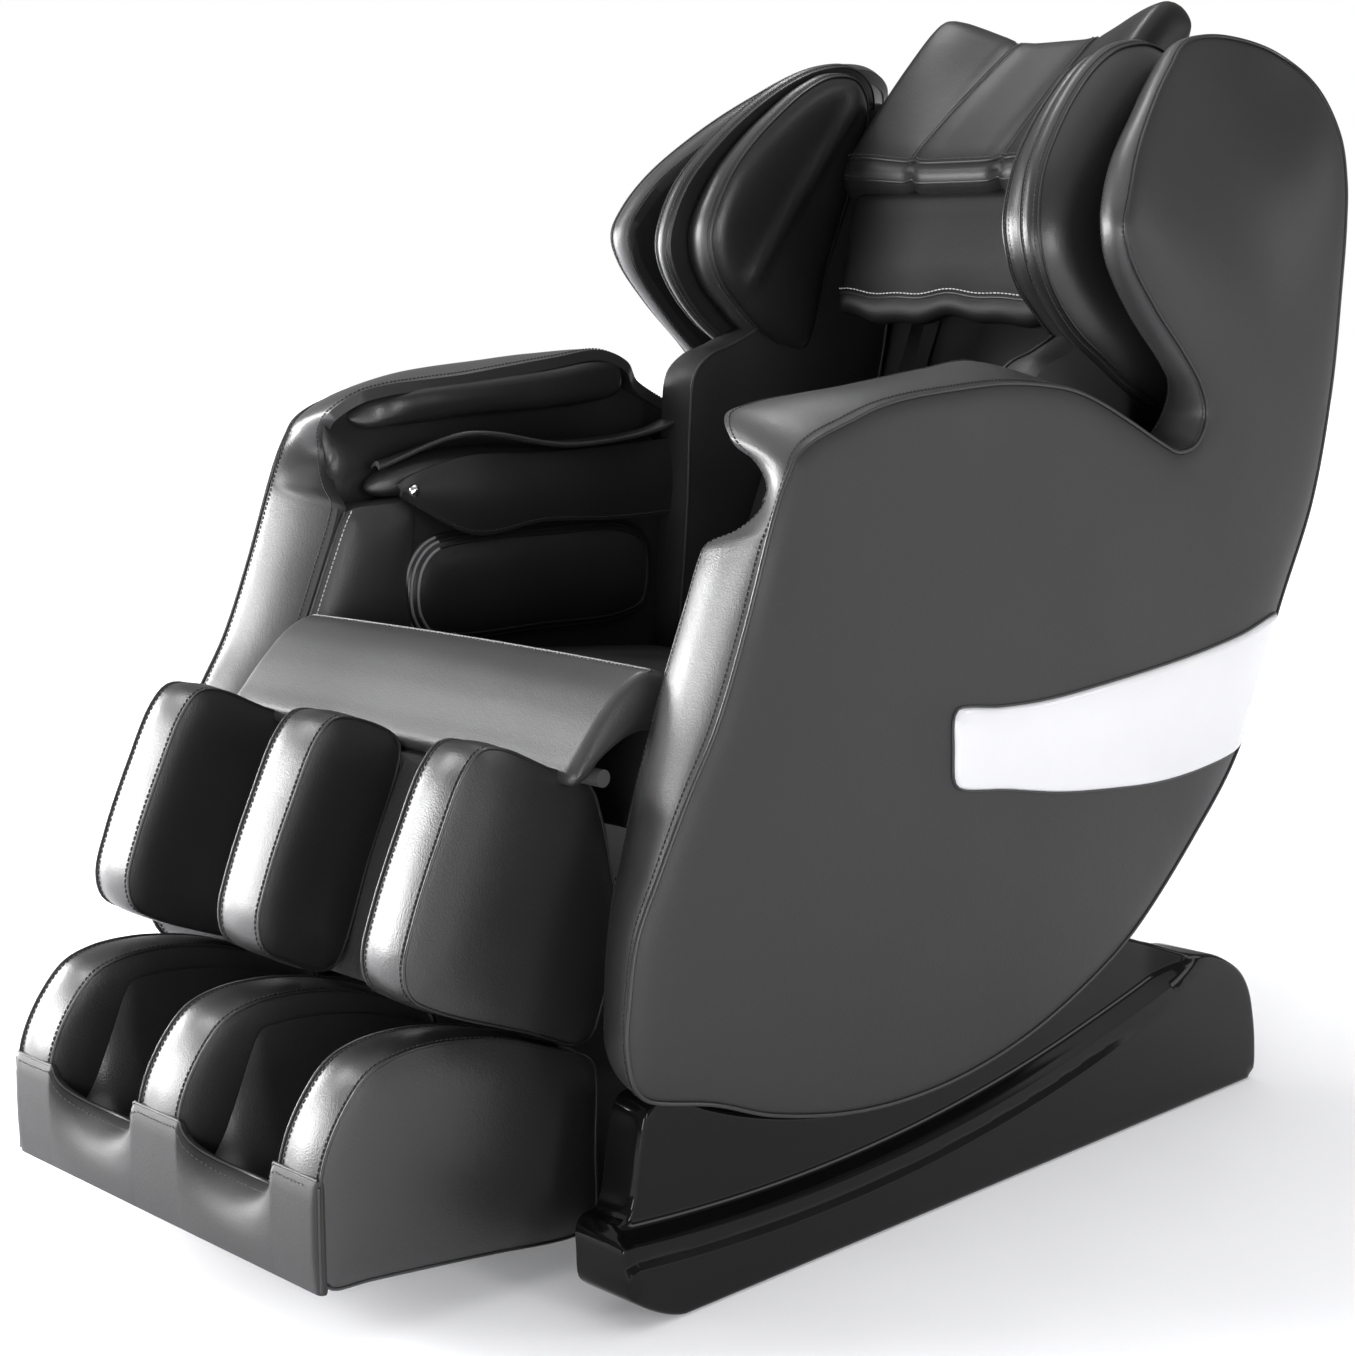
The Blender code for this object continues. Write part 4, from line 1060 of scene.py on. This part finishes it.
# ---------------------------------------------------------------- foot unit
FOOT = mm([
    (-640, 66), (-648, 74), (-650, 110), (-650.5, 150), (-642, 182), (-622, 215), (-598, 238), (-568, 247),
    (-530, 248), (-495, 244), (-455, 235), (-400, 215), (-355, 196), (-346, 184), (-346, 110), (-348, 44),
    (-358, 37), (-378, 35), (-480, 48), (-600, 62)])
FOOT_MIDDLE = mm([
    (-643, 122), (-650, 130), (-650.5, 150), (-642, 182), (-622, 215), (-598, 238), (-568, 247), (-530, 248),
    (-495, 244), (-455, 235), (-410, 218), (-366, 198), (-361, 186), (-362, 82), (-376, 76), (-480, 78),
    (-590, 84), (-622, 106)])
wall_of("foot_side", FOOT, 0.174, 0.243, "foot_unit", ["foot_lobe_*"])
wall_of("foot_middle", FOOT_MIDDLE, -0.037, 0.037, "foot_unit", ["foot_lobe_center"], both=False)

swing = np.sin(np.linspace(-math.pi / 2, math.pi / 2, 61))
front_x = np.concatenate([np.linspace(-0.2385, -0.1750, 20), -0.1055 + 0.0685 * swing,
                          np.linspace(-0.0360, 0.0360, 20), 0.1055 + 0.0685 * swing,
                          np.linspace(0.1750, 0.2385, 20)])
# each well dips as half an ellipse, and the rim leans back there
dip = np.sqrt(np.clip(1 - ((np.abs(front_x) - 0.1055) / 0.0688) ** 2, 0, 1))
front_top = 0.161 - 0.040 * dip
corner = np.sqrt(1 - np.clip((np.abs(front_x) - 0.2325) / 0.0062, 0, 1) ** 2)
FRONT_SECTION = np.array([(0.0, 0.0), (-0.0022, 0.12), (-0.0035, 0.35), (-0.0035, 0.60), (-0.0030, 0.80),
                          (-0.0015, 0.94), (0.0020, 1.0), (0.0070, 0.985), (0.0100, 0.90), (0.0110, 0.6),
                          (0.0110, 0.1), (0.0100, 0.0)])
leaning_back = np.array([0, 0, 0, 0.06, 0.34, 0.74, 1.0, 1.0, 0.90, 0.45, 0.05, 0])
front_rings = np.empty((len(front_x), len(FRONT_SECTION), 3))
front_rings[..., 0] = front_x[:, None]
lean_in = dip**2.2
front_rings[..., 1] = (-0.6532 + FRONT_SECTION[:, 0] * corner[:, None] + 0.004 * (1 - corner[:, None])
                       + 0.030 * lean_in[:, None] * leaning_back)
front_rings[..., 2] = 0.063 + (front_top[:, None] - 0.063) * FRONT_SECTION[:, 1]
put("foot_front_panel", loft(front_rings), FRONT, "foot_unit", fill=0.7, crease=70)
line = front_rings[1:-1, 6] + (0, -0.0004, 0.0002)
put("foot_front_piping", tube(smooth_line(line, 0.003), 0.0013, (0, 1, 0.1)), SEAM, "foot_unit")
put("foot_front_stitching", stitches(front_rings[3:-3:4, 5] + (0, -0.0003, -0.0006), (0, -1, 0.1)), THREAD,
    "foot_unit")
for label, sign in (("left", 1), ("right", -1)):
    edge = smooth_line([(sign * 0.2378, -0.6520, 0.066), (sign * 0.2378, -0.6525, 0.110),
                        (sign * 0.2378, -0.6520, 0.156)], 0.004)
    put(f"foot_corner_piping_{label}", tube(edge, 0.0014, (0, 1, 0)), SEAM, "foot_unit")

well_y = np.linspace(-0.6425, -0.358, 60)
well_u = np.linspace(-1, 1, 41)
floor_z = 0.080 + 0.030 * (1 - smoothstep(-0.620, -0.570, well_y))
lobe_z = np.interp(well_y, [p[0] for p in FOOT[3:13]], [p[1] for p in FOOT[3:13]])
rise = np.abs(well_u) ** 3.2
climb = 0.02 + 0.98 * smoothstep(-0.634, -0.560, well_y)
well_sides = ((lobe_z * 0.86 + 0.014 - floor_z) * climb)[:, None].clip(0)
well_top = np.stack([np.broadcast_to(0.1055 + well_u * 0.0675, (60, 41)), np.repeat(well_y[:, None], 41, 1),
                     floor_z[:, None] + well_sides * rise], 2)
SOLE = ([-0.640, -0.600, -0.480, -0.378, -0.350], [0.0665, 0.0625, 0.0480, 0.0350, 0.0370])
well_low = well_top.copy()
well_low[..., 2] = np.interp(well_y, *SOLE)[:, None] + 0.003
pair("foot_well", loft(np.concatenate([well_top, well_low[:, ::-1]], 1)), LEATHER, "foot_unit",
     ["foot_tray"], fill=0.5, crease=50)

sole_y = np.linspace(-0.638, -0.352, 30)
sole_z = np.interp(sole_y, *SOLE)
sole_loop = np.column_stack([np.append(sole_y, sole_y[::-1]),
                             np.append(sole_z - 0.0015, sole_z[::-1] + 0.006)])
sole_rings = [at_x(x, sole_loop) for x in np.linspace(-0.2350, 0.2350, 15)]
put("foot_under_cover", loft(sole_rings), FABRIC, "foot_unit")

# ---------------------------------------------------------------- base covers
RUNNER = mm([
    (-372, 1), (-428, 30), (-434.5, 38), (-436.5, 60), (-436.5, 84), (-430, 91), (-414, 94), (-408, 104),
    (-400, 150), (-392, 182), (-384, 189)]).tolist()
for degrees in np.linspace(-117, -61, 15):
    RUNNER.append((ROCK[0] + 0.6925 * math.cos(math.radians(degrees)),
                   ROCK[1] + 0.6925 * math.sin(math.radians(degrees))))
RUNNER += [(0.345, 0.188), (0.401, 0.168), (0.440, 0.160), (0.471, 0.147), (0.500, 0.128), (0.518, 0.104),
           (0.529, 0.070), (0.534, 0.040), (0.534, 0.010), (0.528, 0.001), (0.400, 0.0), (0.0, 0.0),
           (-0.300, 0.0)]
CREASE = (-0.192, 2.129, 2.053)  # the concave crease's centre y, z and radius
crease_angle = np.radians(np.linspace(-96.4, -73.2, 200))
crease_rows = [np.column_stack([CREASE[0] + (CREASE[2] + depth) * np.cos(crease_angle),
                                CREASE[1] + (CREASE[2] + depth) * np.sin(crease_angle)])
               for depth in (-0.006, -0.002, 0.0, 0.003, 0.007, 0.012, 0.026, 0.030, 0.0315, 0.036)]
runner_loop = smooth_line(RUNNER, 0.006, closed=True)
runner_loop[:, 1] = np.maximum(runner_loop[:, 1], 0.0)
runner = Face(runner_loop, 0.009, rings=(0.001, 0.0025, 0.005), lines=crease_rows)
below = np.hypot(runner.points[:, 0] - CREASE[0], runner.points[:, 1] - CREASE[1]) - CREASE[2]
fading = 1 - smoothstep(0.34, 0.43, runner.points[:, 0])
crease_in = 0.020 * (1 - smoothstep(0.0, 0.012, below)) * fading
second = 0.0035 * (1 - smoothstep(0.0300, 0.0315, below)) * (1 - smoothstep(0.22, 0.40, runner.points[:, 0]))
runner_x = 0.374 - crease_in - second - rolled(runner.true, 0.004)
pair("base_skirt", runner.solid(runner_x, 0.3100), GLOSS, "base", ["base_cover_*"], crease=50)


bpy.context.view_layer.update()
floor_mesh = bpy.data.meshes.new("floor")
FLOOR_HALF = 14
FLOOR_Z = -0.001
floor_corners = [(FLOOR_HALF * i, FLOOR_HALF * j, FLOOR_Z) for i, j in ((-1, -1), (1, -1), (1, 1), (-1, 1))]
floor_mesh.from_pydata(floor_corners, [], [(0, 1, 2, 3)])
floor_mesh.materials.append(FLOOR)
floor = bpy.data.objects.new("floor", floor_mesh)
bpy.context.scene.collection.objects.link(floor)
